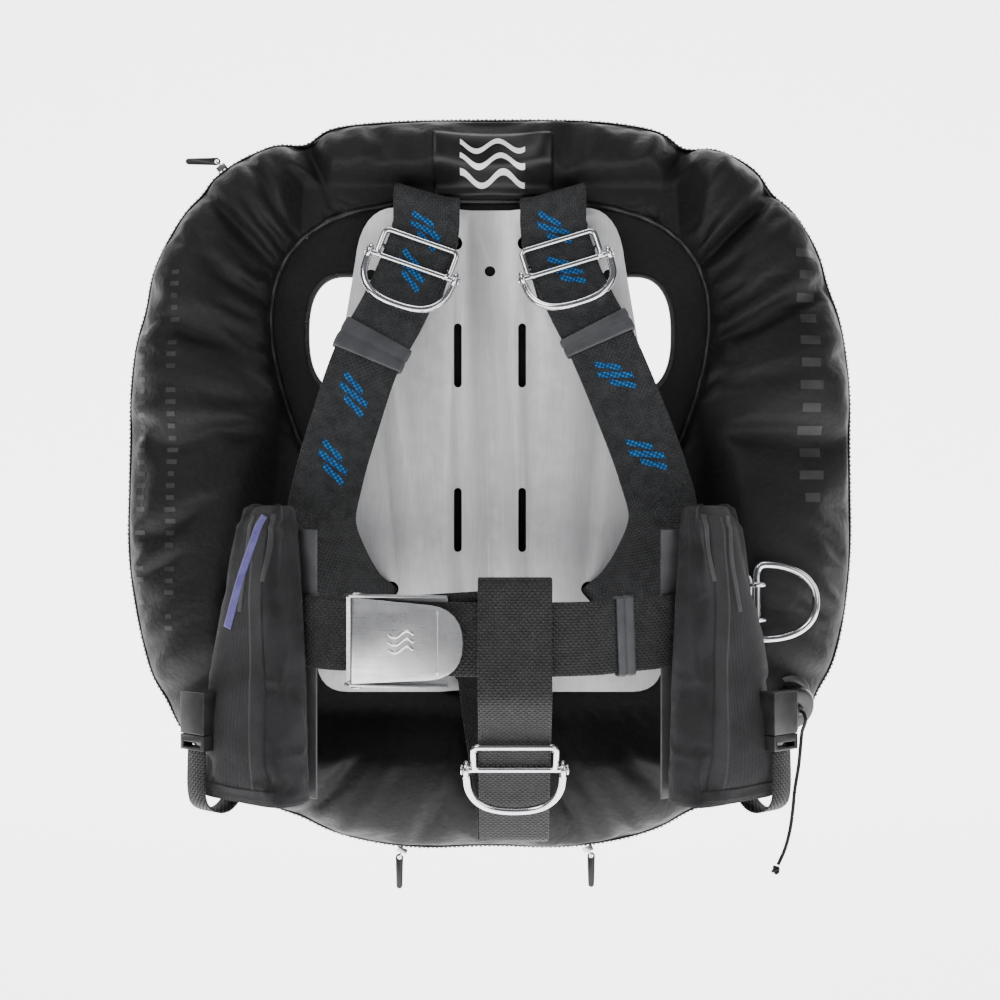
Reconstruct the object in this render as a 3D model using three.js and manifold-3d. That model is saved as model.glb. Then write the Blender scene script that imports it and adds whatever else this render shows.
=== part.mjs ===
// Buoyancy compensator vest: an inflatable ring-shaped wing behind a steel backplate,
// carried by a webbing harness with two ballast pockets. Millimetres, +Z up.
// The origin is on the tank-side face of the wing's centre panel, midway between the two
// tank-bolt holes. +Y points to the tank, -Y to the diver's front, +X to the wearer's left.
import * as THREE from 'three';
import { mergeVertices } from 'three/addons/utils/BufferGeometryUtils.js';
import Module from 'manifold-3d';

const wasm = await Module();
wasm.setup();

// ---------- clearances ----------
const GAP = 0.3;
const PIN_PLAY = 0.5;

// ---------- webbing ----------
const WEB_WIDTH = 50.8;
const WEB_THICK = 2.5;
const LAYER = WEB_THICK + GAP;
const KEEPER_WALL = 2;
const KEEPER_PLAY = 0.5;

// ---------- wing ----------
const SEAM_HALF_WIDTH = 147;
const SEAM_HALF_HEIGHT = 194;
const SEAM_MID_Z = 1;
const SEAM_EGG = 0.55;
const WING_HALF_WIDTH = 283;
const WING_HALF_HEIGHT = 285;
const WING_MID_Z = -27;
const WING_FULLNESS = 0.42;
const WING_MAX_HALF_THICK = 50;
const SKIN = 1.2;
const WING_MARGIN = 42;
const WING_END_MARGIN = 20;
const WING_RISE = 1.5;
const STRAP_FOLD_DEPTH = 5;
const WING_STATIONS = 48;
const SKIN_STEPS = 8;
const BLADDER_GAP = 0.8;
const PANEL_THICK = 2.4;
const PANEL_TUCK = 1;
const ZIP_HALF_HEIGHT = 4;
const ZIP_THICK = 2.8;

// ---------- backplate ----------
const PLATE_THICK = 3;
const PLATE_HALF_HEIGHT = 187;
const PLATE_TOP_HALF = 72;
const PLATE_SHOULDER_HALF = 104;
const PLATE_SHOULDER_Z = 145;
const PLATE_WAIST_HALF = 115;
const PLATE_WAIST_Z = 80;
const PLATE_BOTTOM_HALF = 134;
const PLATE_CORNER = 24;
const CHANNEL_DEPTH = 14;
const CHANNEL_FLAT_HALF = 15;
const CHANNEL_HALF = 39;
const BOLT_SPACING = 279.4;
const BOLT_HOLE_R = 4.25;
const CAM_SLOT = { width: 6, length: 50, x: 25, zs: [73.5, -54.5] };
const ACCESSORY_HOLE = { r: 4.5, x: 92, z: 135 };
const SLOT_LENGTH = WEB_WIDTH + 5;
const SLOT_HEIGHT = 11.5;
const TOP_SLOT = { x: 48.5, z: 167, tilt: THREE.MathUtils.degToRad(16) };
const LOWER_SLOT = { x: 91, z: -124, tilt: THREE.MathUtils.degToRad(-48) };
const CROTCH_SLOT_Z = -174;

// ---------- grommets ----------
const GROMMET_BORE_R = 4.5;
const GROMMET_WALL = 1.5;
const GROMMET_FLANGE_R = 9;
const GROMMET_FLANGE_THICK = 0.9;

// ---------- depths worked out from the stack ----------
const WING_MID_Y = -PANEL_THICK / 2;
const CHANNEL_REAR_Y = -(PANEL_THICK + GAP + GROMMET_FLANGE_THICK + GAP);
const PLATE_REAR_Y = CHANNEL_REAR_Y - CHANNEL_DEPTH;
const PLATE_FRONT_Y = PLATE_REAR_Y - PLATE_THICK;
const WEB_REAR_Y = PLATE_REAR_Y + GAP + WEB_THICK / 2;
const WEB_FRONT_Y = PLATE_FRONT_Y - GAP - WEB_THICK / 2;
const WING_CLEAR_Y = WEB_REAR_Y + WEB_THICK / 2 + GAP + 0.6;

// ---------- hardware ----------
const FRAME_ROD_R = 2.2;
const SLIDE_HALF_WIDTH = WEB_WIDTH / 2 + FRAME_ROD_R + 1.2;
const SLIDE_HALF_HEIGHT = 11;
const SLIDE_PLAY = 0.7;
const ROD_OFFSET = WEB_THICK / 2 + SLIDE_PLAY + FRAME_ROD_R;
const RING_WIRE_R = 2.7;
const EYE_WIRE_R = 1.9;
const EYE_R = FRAME_ROD_R + PIN_PLAY + EYE_WIRE_R;
const PIN_HEAD_RISE = 1.4;
const RING_HALF_WIDTH = 34;
const RING_DEPTH = 36;
const RING_REST_TILT = THREE.MathUtils.degToRad(10);

const HIP_RING_Z = -115;
const HIP_RING_HALF = 28;
const HIP_RING_DEPTH = 44;

// ---------- belt and buckle ----------
const BELT_Z = -134;
const BELT_REAR_Z = -125;
const BELT_FRONT_Y = -161.6;
const BELT_BEND_X = 14;
const BELT_SIDE = [[184, -76.5], [120, -132]];
const HIP_CORNER = { x: 190, y: -64 };
const BUCKLE_YAW = Math.atan2(29.6, 106);
const BUCKLE_X = -56;
const BUCKLE_REACH = 44;
const BUCKLE_BASE = 1.6;
const BUCKLE_WALL = 1.6;
const BUCKLE_INNER_HALF = 30;
const BUCKLE_PIN_R = 2;
const BUCKLE_PIN_X = -34;
const BUCKLE_LAYER = WEB_THICK + GAP + BUCKLE_BASE + GAP;
const LEVER_THICK = 1.6;
const LEVER_LENGTH = 78;
const KNUCKLE_R = BUCKLE_PIN_R + PIN_PLAY + LEVER_THICK;
const BUCKLE_PIN_Z = BUCKLE_BASE + GAP + WEB_THICK + GAP + KNUCKLE_R;
const BAR_LENGTH = 4;
const BAR_PLAY = 0.4;
const WALL_PEAK = 12.5;
const LEVER_NOSE = 24;
const LEVER_TAPER = 4;
const PIN_HEAD = 1.2;
const CROTCH_X = 18;

// ---------- ballast pockets ----------
const POCKET_WALL = 2;
const POCKET_STAND_OFF = 0.4;
const POUCH_PLAY = 0.6;
const POCKET_TOP_Z = -42;
const POCKET_BOTTOM_Z = -250;
const BACKING = { width: 76, height: 190, thick: 1.6 };
const HANDLE_THICK = 1.8;
const HANDLE_WIDTH = 19;
const LABEL_WIDTH = 8;
const LABEL_THICK = 0.8;
const ANCHOR = { width: 18, height: 12, shift: 4 };
const PLUG = { base: 11, slot: 3.5, prong: 4, reach: 22, tongue: 18 };
const RELEASE = { x: 33, z: -205, width: 26, thick: 9, socket: 30, wall: 1.6, anchorNear: 35.8 };

// ---------- dump valve and wing fittings ----------
const VALVE_ANGLE = THREE.MathUtils.degToRad(-33);
const VALVE_SHARE = 0.225;
const VALVE_LIFT = 1.2;
const VALVE_FLANGE_R = 22;
const VALVE_FLANGE_THICK = 3.2;
const CAP_WALL = 2.6;
const CAP_FOOT = 3.6;
const CAP_CEILING = 14.5;
const CAP_TOP = 16.5;
const DISC_TOP = 3;
const KNOT_R = 3.1;
const KNOT_STRETCH = 1.3;
const VALVE_COLLAR_R = 14;
const VALVE_BORE_R = 11;
const VALVE_STEM_R = 2.2;
const SPRING_R = 7;
const SPRING_WIRE_R = 0.7;
const CORD_R = 1.4;
const DUMP_CORD_ROUTE = [
  [235.5, -50, -214], [234.5, -49, -226], [233.5, -47, -240], [231, -45, -258], [229.5, -44, -275],
  [227.5, -43, -290], [224, -42, -304], [219, -41, -316],
];
const PORT = { bore: 6, flange: 17, neck: 11, height: 13 };
const PORT_ANGLE = THREE.MathUtils.degToRad(70);
const PORT_LIFT = 1;
const SLIDER = { length: 8, thick: 4, width: 7 };
const BAIL = { halfWidth: 2.6, halfHeight: 3.2, wire: 0.9, y: 5.4 };
const PULL = { top: 3, tip: 2.4, hole: 1.6, length: 22, thick: 1.4 };
const PATCH_THICK = 0.8;
const PATCH_ROWS = [1, 5];
const PATCH_WIDTH = 64;
const PATCH_LIFT = 0.25;

const UP = new THREE.Vector3(0, 0, 1);
const BLACK_NYLON = { color: 0x101113, roughness: 0.75, metalness: 0 };
const WEBBING = { color: 0x2b2c2e, roughness: 0.85, metalness: 0 };
const STEEL = { color: 0xb9bbbc, roughness: 0.35, metalness: 1 };
const BRIGHT_STEEL = { color: 0xd6d8d9, roughness: 0.15, metalness: 1 };
const POCKET_CLOTH = { color: 0x444446, roughness: 0.85, metalness: 0 };
const BLACK_PLASTIC = { color: 0x17181a, roughness: 0.45, metalness: 0 };
const GREY_RUBBER = { color: 0x55575b, roughness: 0.7, metalness: 0 };
const LABEL = { color: 0x8f86c4, roughness: 0.6, metalness: 0 };
const PALE_CLOTH = { color: 0x9a9c9f, roughness: 0.8, metalness: 0 };

const vest = new THREE.Group();

// ---------- general helpers ----------
const vec = (x, y, z) => new THREE.Vector3(x, y, z);
const lerp = THREE.MathUtils.lerp;

function signedVolume(geometry) {
  const position = geometry.attributes.position;
  const index = geometry.index.array;
  const corners = [vec(0, 0, 0), vec(0, 0, 0), vec(0, 0, 0)];
  let total = 0;
  for (let i = 0; i < index.length; i += 3) {
    corners.forEach((corner, k) => corner.fromBufferAttribute(position, index[i + k]));
    total += corners[0].dot(corners[1].clone().cross(corners[2]));
  }
  return total;
}

// Closed surface through rings of equal point counts; an open run of rings gets fan caps.
// From column flipFrom on, the four-cornered patches are split along their other diagonal.
function loft(rings, closedAlong = false, flipFrom = Infinity) {
  const count = rings[0].length;
  const points = rings.flat();
  const index = [];
  const last = closedAlong ? rings.length : rings.length - 1;
  for (let i = 0; i < last; i += 1) {
    const next = (i + 1) % rings.length;
    for (let j = 0; j < count; j += 1) {
      const k = (j + 1) % count;
      const [a, b] = [i * count + j, i * count + k];
      const [c, d] = [next * count + j, next * count + k];
      if (j < flipFrom) index.push(a, b, d, a, d, c);
      else index.push(a, b, c, b, d, c);
    }
  }
  if (!closedAlong) {
    for (let j = 1; j < count - 1; j += 1) {
      const end = (rings.length - 1) * count;
      index.push(0, j + 1, j, end, end + j, end + j + 1);
    }
  }
  const geometry = new THREE.BufferGeometry().setFromPoints(points);
  geometry.setIndex(index);
  if (signedVolume(geometry) < 0) {
    for (let i = 0; i < index.length; i += 3) {
      [index[i], index[i + 1]] = [index[i + 1], index[i]];
    }
    geometry.setIndex(index);
  }
  return geometry;
}

function toSolid(geometry) {
  const bare = geometry.clone();
  bare.deleteAttribute('normal');
  bare.deleteAttribute('uv');
  const merged = mergeVertices(bare, 1e-4);
  const mesh = new wasm.Mesh({
    numProp: 3,
    vertProperties: new Float32Array(merged.attributes.position.array),
    triVerts: new Uint32Array(merged.index.array),
  });
  return new wasm.Manifold(mesh);
}

function fromSolid(solid) {
  const mesh = solid.getMesh();
  const geometry = new THREE.BufferGeometry();
  geometry.setAttribute('position', new THREE.BufferAttribute(mesh.vertProperties, 3));
  geometry.setIndex(new THREE.BufferAttribute(mesh.triVerts, 1));
  return geometry;
}

function join(...geometries) {
  return fromSolid(geometries.map(toSolid).reduce((sum, next) => sum.add(next)));
}

function cut(base, ...tools) {
  return fromSolid(tools.map(toSolid).reduce((rest, tool) => rest.subtract(tool), toSolid(base)));
}

function box(width, depth, height, x = 0, y = 0, z = 0) {
  return new THREE.BoxGeometry(width, depth, height).translate(x, y, z);
}

// Cylinder along the local z axis from z0 to z1.
function rod(radius, z0, z1, sides = 16) {
  const geometry = new THREE.CylinderGeometry(radius, radius, z1 - z0, sides);
  return geometry.rotateX(Math.PI / 2).translate(0, 0, (z0 + z1) / 2);
}

// Lathe profile given as (radius, height) pairs, turned about the local z axis.
function turned(profile, sides = 16) {
  const points = profile.map(([r, z]) => new THREE.Vector2(r, z));
  points.push(points[0].clone());
  const geometry = new THREE.LatheGeometry(points, sides).rotateX(Math.PI / 2);
  const merged = mergeVertices(stripped(geometry), 1e-4);
  const faces = dropFlat(merged);
  if (signedVolume(faces) < 0) {
    flip(faces);
  }
  return faces;
}

function stripped(geometry) {
  const bare = geometry.clone();
  bare.deleteAttribute('normal');
  bare.deleteAttribute('uv');
  return bare;
}

function dropFlat(geometry) {
  const kept = [];
  const index = geometry.index.array;
  for (let i = 0; i < index.length; i += 3) {
    const [a, b, c] = index.slice(i, i + 3);
    if (a !== b && b !== c && a !== c) kept.push(a, b, c);
  }
  geometry.setIndex(kept);
  return geometry;
}

function flip(geometry) {
  const index = Array.from(geometry.index.array);
  for (let i = 0; i < index.length; i += 3) {
    [index[i], index[i + 1]] = [index[i + 1], index[i]];
  }
  geometry.setIndex(index);
}

function circle(radius, sides) {
  const shape = new THREE.Shape();
  for (let i = 0; i < sides; i += 1) {
    const angle = (2 * Math.PI * (i + 0.5)) / sides;
    const [x, y] = [radius * Math.cos(angle), radius * Math.sin(angle)];
    if (i === 0) shape.moveTo(x, y);
    else shape.lineTo(x, y);
  }
  shape.closePath();
  return shape;
}

// Tube of round section along an open curve.
function tube(points, radius, sides = 6, steps = 20) {
  const path = new THREE.CatmullRomCurve3(points, false, 'centripetal');
  return new THREE.ExtrudeGeometry(circle(radius, sides), { steps, extrudePath: path });
}

// Closed wire: a round section carried round a closed run of points in the local x-y plane.
function wireLoop(centres, radius, sides = 6) {
  const count = centres.length;
  const rings = centres.map((centre, i) => {
    const along = centres[(i + 1) % count].clone().sub(centres[(i + count - 1) % count]).normalize();
    const side = along.clone().cross(UP).normalize();
    return Array.from({ length: sides }, (_, j) => {
      const angle = (2 * Math.PI * j) / sides;
      const offset = side.clone().multiplyScalar(radius * Math.cos(angle));
      return centre.clone().add(offset).addScaledVector(UP, radius * Math.sin(angle));
    });
  });
  return loft(rings, true);
}

function roundedLoop(halfWidth, halfHeight, corner, z, perCorner = 3) {
  const points = [];
  const middles = [[1, 1], [-1, 1], [-1, -1], [1, -1]];
  middles.forEach(([sx, sy], quarter) => {
    for (let i = 0; i <= perCorner; i += 1) {
      const angle = (Math.PI / 2) * (quarter + i / perCorner);
      const x = sx * (halfWidth - corner) + corner * Math.cos(angle);
      points.push(vec(x, sy * (halfHeight - corner) + corner * Math.sin(angle), z));
    }
  });
  return points;
}

function add(name, geometry, finish, frame = null) {
  const material = new THREE.MeshStandardMaterial(finish);
  const mesh = new THREE.Mesh(geometry, material);
  mesh.name = name;
  if (frame) {
    mesh.position.copy(frame.origin);
    const basis = new THREE.Matrix4().makeBasis(frame.x, frame.y, frame.z);
    mesh.quaternion.setFromRotationMatrix(basis);
  }
  vest.add(mesh);
  return mesh;
}

// A strap's centreline: stations [x, y, z, tilt, roll]. Tilt, in degrees, turns the width
// direction from level as seen from the front, and roll leans its inner edge to the rear.
// Stations with no tilt carry a strap whose width stands upright.
class StrapPath {
  constructor(stations, side = 1) {
    const points = stations.map(([x, y, z]) => vec(side * x, y, z));
    const radians = THREE.MathUtils.degToRad;
    this.curve = new THREE.CatmullRomCurve3(points, false, 'centripetal');
    this.tilts = stations.map((station) => side * radians(station[3] ?? 0));
    this.rolls = stations.map((station) => -side * radians(station[4] ?? 0));
    this.upright = stations[0][3] === undefined;
    this.last = stations.length - 1;
  }

  // Frame at u, in stations: x across the strap, y back along it, z out of its face.
  at(u) {
    const t = Math.min(Math.max(u / this.last, 0), 1);
    const index = Math.min(Math.floor(u), this.last - 1);
    const tilt = lerp(this.tilts[index], this.tilts[index + 1], u - index);
    const roll = lerp(this.rolls[index], this.rolls[index + 1], u - index);
    const origin = this.curve.getPoint(t);
    const along = this.curve.getTangent(t);
    const across = this.upright ? UP.clone() : vec(Math.cos(tilt), Math.tan(roll), Math.sin(tilt));
    across.addScaledVector(along, -along.dot(across)).normalize();
    const up = along.clone().negate();
    return { origin, x: across, y: up, z: across.clone().cross(up) };
  }

  section(u, halfWidth, low, high) {
    const { origin, x, z } = this.at(u);
    const corners = [[-1, low], [1, low], [1, high], [-1, high]];
    return corners.map(([side, n]) => {
      return origin.clone().addScaledVector(x, side * halfWidth).addScaledVector(z, n);
    });
  }

  ribbon(from = 0, to = this.last, perStation = 3) {
    const steps = Math.round((to - from) * perStation);
    const half = WEB_THICK / 2;
    const rings = Array.from({ length: steps + 1 }, (_, i) => {
      return this.section(lerp(from, to, i / steps), WEB_WIDTH / 2, -half, half);
    });
    return loft(rings);
  }

  // A band round the strap: its wall lies outside the webbing by the keeper's play.
  sleeve(from, to, play = KEEPER_PLAY, wall = KEEPER_WALL) {
    const inner = WEB_THICK / 2 + play;
    const outer = inner + wall;
    const stations = [from, (from + to) / 2, to];
    const outside = stations.map((u) => this.section(u, WEB_WIDTH / 2 + play + wall, -outer, outer));
    const inside = stations.map((u) => this.section(u, WEB_WIDTH / 2 + play, -inner, inner));
    return loft([...outside, ...inside.reverse()], true);
  }
}

// ---------- wing surfaces ----------
const power = (value, exponent) => Math.sign(value) * Math.abs(value) ** exponent;

function innerSeam(angle, outset = 0) {
  const egg = 1 + SEAM_EGG * Math.sin(angle);
  const x = SEAM_HALF_WIDTH * power(Math.cos(angle), 0.6) * egg;
  const z = SEAM_MID_Z + SEAM_HALF_HEIGHT * Math.sin(angle);
  const point = vec(x, 0, z);
  const outward = outerSeam(angle).sub(point).normalize();
  return point.addScaledVector(outward, outset);
}

function outerSeam(angle) {
  const fullness = 2 / lerp(2.5, 3.2, (1 + Math.sin(angle)) / 2);
  const x = WING_HALF_WIDTH * power(Math.cos(angle), fullness);
  return vec(x, 0, WING_MID_Z + WING_HALF_HEIGHT * power(Math.sin(angle), fullness));
}

// How far forward the wing may come at a point: flat behind the plate, lower still where the
// shoulder straps fold over its top edge, then sloping out.
function wingFrontLimit(x, z) {
  const share = (PLATE_HALF_HEIGHT - z) / (2 * PLATE_HALF_HEIGHT);
  const half = lerp(PLATE_SHOULDER_HALF, PLATE_BOTTOM_HALF, share);
  const sideways = Math.abs(x) - half - WING_MARGIN;
  const endways = Math.abs(z) - PLATE_HALF_HEIGHT - WING_END_MARGIN;
  const clear = z > PLATE_SHOULDER_Z ? WING_CLEAR_Y + STRAP_FOLD_DEPTH : WING_CLEAR_Y;
  return clear - WING_RISE * Math.max(sideways, endways, 0);
}

function wingAngles(count) {
  return Array.from({ length: count }, (_, i) => (2 * Math.PI * (i + 0.5)) / count);
}

function wingHalfThick(angle) {
  const width = outerSeam(angle).distanceTo(innerSeam(angle));
  return Math.min(WING_MAX_HALF_THICK, width * WING_FULLNESS);
}

// One cross-section of the wing: the inner seam, the way outward, and its closed outline as
// (distance out from the inner seam, y) pairs: the front skin's points, then the rear skin's.
function wingSection(angle) {
  const inner = innerSeam(angle);
  const outward = outerSeam(angle).sub(inner);
  const half = outward.length() / 2;
  outward.normalize();
  const thick = wingHalfThick(angle);
  const start = Math.asin((ZIP_HALF_HEIGHT + GAP) / thick);
  const end = Math.PI - Math.asin((PANEL_THICK / 2 + 2 * GAP) / thick);
  const point = (turn) => {
    const out = half + half * Math.cos(turn);
    const place = inner.clone().addScaledVector(outward, out);
    const y = WING_MID_Y - thick * Math.sin(turn);
    return [out, Math.max(y, wingFrontLimit(place.x, place.z))];
  };
  const turns = Array.from({ length: SKIN_STEPS }, (_, i) => lerp(start, end, i / (SKIN_STEPS - 1)));
  const outline = [...turns.map(point), ...turns.reverse().map((turn) => point(-turn))];
  return { inner, outward, outline };
}

// Moves a closed outline inward by a distance, each corner along its mitre.
function insetOutline(outline, distance) {
  const count = outline.length;
  const normals = outline.map(([x, y], i) => {
    const [nextX, nextY] = outline[(i + 1) % count];
    const length = Math.hypot(nextX - x, nextY - y);
    return [-(nextY - y) / length, (nextX - x) / length];
  });
  return outline.map(([x, y], i) => {
    const before = normals[(i + count - 1) % count];
    const after = normals[i];
    const spread = 1 + before[0] * after[0] + before[1] * after[1];
    const reach = -distance / spread;
    return [x + reach * (before[0] + after[0]), y + reach * (before[1] + after[1])];
  });
}

function wingRing(angle, inset, from = 0, to = 2 * SKIN_STEPS) {
  const { inner, outward, outline } = wingSection(angle);
  const moved = inset === 0 ? outline : insetOutline(outline, inset);
  return moved.slice(from, to).map(([out, y]) => {
    const point = inner.clone().addScaledVector(outward, out);
    return vec(point.x, y, point.z);
  });
}

function wingSkin(from) {
  const to = from + SKIN_STEPS;
  const rings = wingAngles(WING_STATIONS).map((angle) => {
    return [...wingRing(angle, 0, from, to), ...wingRing(angle, SKIN, from, to).reverse()];
  });
  return loft(rings, true, SKIN_STEPS);
}

function bladder() {
  return loft(wingAngles(WING_STATIONS).map((angle) => wingRing(angle, SKIN + BLADDER_GAP)), true);
}

function zipTape() {
  const low = WING_MID_Y - ZIP_HALF_HEIGHT;
  const high = WING_MID_Y + ZIP_HALF_HEIGHT;
  const rings = wingAngles(WING_STATIONS).map((angle) => {
    const outer = outerSeam(angle);
    const outward = outer.clone().sub(innerSeam(angle)).normalize();
    const near = outer.clone().addScaledVector(outward, -SKIN);
    const far = near.clone().addScaledVector(outward, ZIP_THICK);
    return [[near, low], [far, low], [far, high], [near, high]].map(([p, y]) => vec(p.x, y, p.z));
  });
  return loft(rings, true);
}

// Extrudes a shape drawn in x and z into a sheet from y = front to y = rear.
function sheet(shape, front, rear, curveSegments = 8) {
  const depth = rear - front;
  const geometry = new THREE.ExtrudeGeometry(shape, { depth, bevelEnabled: false, curveSegments });
  return geometry.rotateX(Math.PI / 2).translate(0, rear, 0);
}

function shapeThrough(points) {
  const shape = new THREE.Shape();
  points.forEach(([x, z], i) => (i === 0 ? shape.moveTo(x, z) : shape.lineTo(x, z)));
  shape.closePath();
  return shape;
}

const WINDOW = { x: 112, z: 91, halfWidth: 30, halfHeight: 45 };

function windowOutline(side, sides = 20) {
  return Array.from({ length: sides }, (_, i) => {
    const angle = (2 * Math.PI * i) / sides;
    const x = side * WINDOW.x + WINDOW.halfWidth * power(Math.cos(angle), 0.8);
    return [x, WINDOW.z + WINDOW.halfHeight * power(Math.sin(angle), 0.8)];
  });
}

function centrePanel() {
  const outline = wingAngles(WING_STATIONS).map((angle) => {
    const point = innerSeam(angle, PANEL_TUCK);
    return [point.x, point.z];
  });
  const shape = shapeThrough(outline);
  [-1, 1].forEach((side) => {
    shape.holes.push(new THREE.Path(windowOutline(side).map(([x, z]) => new THREE.Vector2(x, z))));
    const hole = new THREE.Path();
    hole.absarc(0, (side * BOLT_SPACING) / 2, GROMMET_BORE_R + GROMMET_WALL + GAP, 0, 2 * Math.PI);
    shape.holes.push(hole);
  });
  return sheet(shape, -PANEL_THICK, 0);
}

function addWing() {
  add('wing_front_shell', wingSkin(0), BLACK_NYLON);
  add('wing_rear_shell', wingSkin(SKIN_STEPS), BLACK_NYLON);
  add('inner_bladder', bladder(), BLACK_NYLON);
  add('wing_centre_panel', centrePanel(), BLACK_NYLON);
  add('perimeter_zip', zipTape(), BLACK_PLASTIC);
  [['upper', 1], ['lower', -1]].forEach(([place, side]) => addGrommet(`bolt_grommet_${place}`, side));
}

// Eyelet with its flange on the front of the panel and its barrel flush with the tank-side face.
function addGrommet(name, side) {
  const bore = GROMMET_BORE_R;
  const barrel = bore + GROMMET_WALL;
  const front = PANEL_THICK + GAP;
  const profile = [
    [bore, 0], [barrel, 0], [barrel, front], [GROMMET_FLANGE_R, front],
    [GROMMET_FLANGE_R, front + GROMMET_FLANGE_THICK], [bore, front + GROMMET_FLANGE_THICK],
  ];
  const frame = { origin: vec(0, 0, (side * BOLT_SPACING) / 2), x: vec(1, 0, 0), y: UP, z: vec(0, -1, 0) };
  add(name, turned(profile), BRIGHT_STEEL, frame);
}

// ---------- backplate ----------
function plateOutline() {
  const shape = new THREE.Shape();
  const top = PLATE_HALF_HEIGHT;
  const bottom = PLATE_BOTTOM_HALF;
  shape.moveTo(-PLATE_TOP_HALF, top);
  shape.lineTo(PLATE_TOP_HALF, top);
  shape.quadraticCurveTo(PLATE_SHOULDER_HALF - 4, top, PLATE_SHOULDER_HALF, PLATE_SHOULDER_Z);
  shape.lineTo(PLATE_WAIST_HALF, PLATE_WAIST_Z);
  shape.lineTo(bottom, PLATE_CORNER * 1.5 - top);
  shape.quadraticCurveTo(bottom + 3, -top, bottom - PLATE_CORNER, -top);
  shape.lineTo(PLATE_CORNER - bottom, -top);
  shape.quadraticCurveTo(-bottom - 3, -top, -bottom, PLATE_CORNER * 1.5 - top);
  shape.lineTo(-PLATE_WAIST_HALF, PLATE_WAIST_Z);
  shape.lineTo(-PLATE_SHOULDER_HALF, PLATE_SHOULDER_Z);
  shape.quadraticCurveTo(4 - PLATE_SHOULDER_HALF, top, -PLATE_TOP_HALF, top);
  return shape;
}

// Slot cutter with round ends, straight along y.
function slotTool(length, height, x, z, tilt) {
  const half = length / 2 - height / 2;
  const shape = new THREE.Shape();
  shape.absarc(half, 0, height / 2, -Math.PI / 2, Math.PI / 2);
  shape.absarc(-half, 0, height / 2, Math.PI / 2, (3 * Math.PI) / 2);
  const tool = sheet(shape, -60, 20, 4);
  return tool.rotateY(-tilt).translate(x, 0, z);
}

function backplate() {
  const reach = PLATE_BOTTOM_HALF + 30;
  const rear = [
    [-reach, PLATE_REAR_Y], [-CHANNEL_HALF, PLATE_REAR_Y], [-CHANNEL_FLAT_HALF, CHANNEL_REAR_Y],
    [CHANNEL_FLAT_HALF, CHANNEL_REAR_Y], [CHANNEL_HALF, PLATE_REAR_Y], [reach, PLATE_REAR_Y],
  ];
  const front = rear.map(([x, y]) => [x, y - PLATE_THICK]).reverse();
  const profile = shapeThrough([...rear, ...front]);
  const length = 2 * PLATE_HALF_HEIGHT + 10;
  const bent = new THREE.ExtrudeGeometry(profile, { depth: length, bevelEnabled: false });
  bent.translate(0, 0, -length / 2);
  const blank = toSolid(bent).intersect(toSolid(sheet(plateOutline(), -60, 20)));
  const tools = [];
  [-1, 1].forEach((side) => {
    CAM_SLOT.zs.forEach((z) => {
      tools.push(slotTool(CAM_SLOT.length, CAM_SLOT.width, side * CAM_SLOT.x, z, Math.PI / 2));
    });
    tools.push(slotTool(SLOT_LENGTH, SLOT_HEIGHT, side * TOP_SLOT.x, TOP_SLOT.z, side * TOP_SLOT.tilt));
    const lower = side * LOWER_SLOT.tilt;
    tools.push(slotTool(SLOT_LENGTH, SLOT_HEIGHT, side * LOWER_SLOT.x, LOWER_SLOT.z, lower));
    const bolt = rod(BOLT_HOLE_R, -40, 60, 20).rotateX(Math.PI / 2);
    tools.push(bolt.translate(0, 0, (side * BOLT_SPACING) / 2));
    const small = rod(ACCESSORY_HOLE.r, -40, 60, 16).rotateX(Math.PI / 2);
    tools.push(small.translate(side * ACCESSORY_HOLE.x, 0, ACCESSORY_HOLE.z));
  });
  tools.push(slotTool(SLOT_LENGTH, SLOT_HEIGHT, 0, CROTCH_SLOT_Z, 0));
  return fromSolid(tools.map(toSolid).reduce((rest, tool) => rest.subtract(tool), blank));
}

// ---------- shoulder straps ----------
// From the tail in front, up through the top slot, over the plate's top edge, down the
// wearer's chest and through the lower slot. Behind the plate the strap leans with the
// channel's slope, so its inner edge lies further back.
const SLOT_RUN = [
  [-50, -0.15, 0], [-30, -0.15, 0], [-15, -0.8, 1], [-7.5, -3.4, 6], [-2.8, 0.4, 9], [-0.6, 4.8, 10],
  [1.8, 9.8, 10], [6, 11.6, 10], [13, 11.6, 10], [20.5, 11.6, 10], [27.5, 10.4, 8], [31.2, 5.6, 3],
  [32.2, 0.6, 0], [30, -4, 0], [25, -6.6, 0], [16, -8.4, 0], [6, -10.1, 0], [-4, -12.1, 0],
];
const FRONT_ROUTE = {
  left: [
    [54.6, -39.3, 146.6, 17], [59.6, -43.9, 130, 17], [70, -51.5, 106, 21], [82, -58, 82, 25],
    [101, -70, 35, 24], [120, -79, -18, 16], [128, -76, -52, -6], [117, -50, -90, -36],
  ],
  right: [
    [55.4, -39.3, 146.8, 18], [61.2, -43.9, 130.4, 19], [73, -51, 103, 23], [92, -60.5, 66, 24],
    [106, -70, 22, 18], [118, -78, -22, 8], [124, -74, -56, -10], [114, -49, -92, -38],
  ],
};

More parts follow.
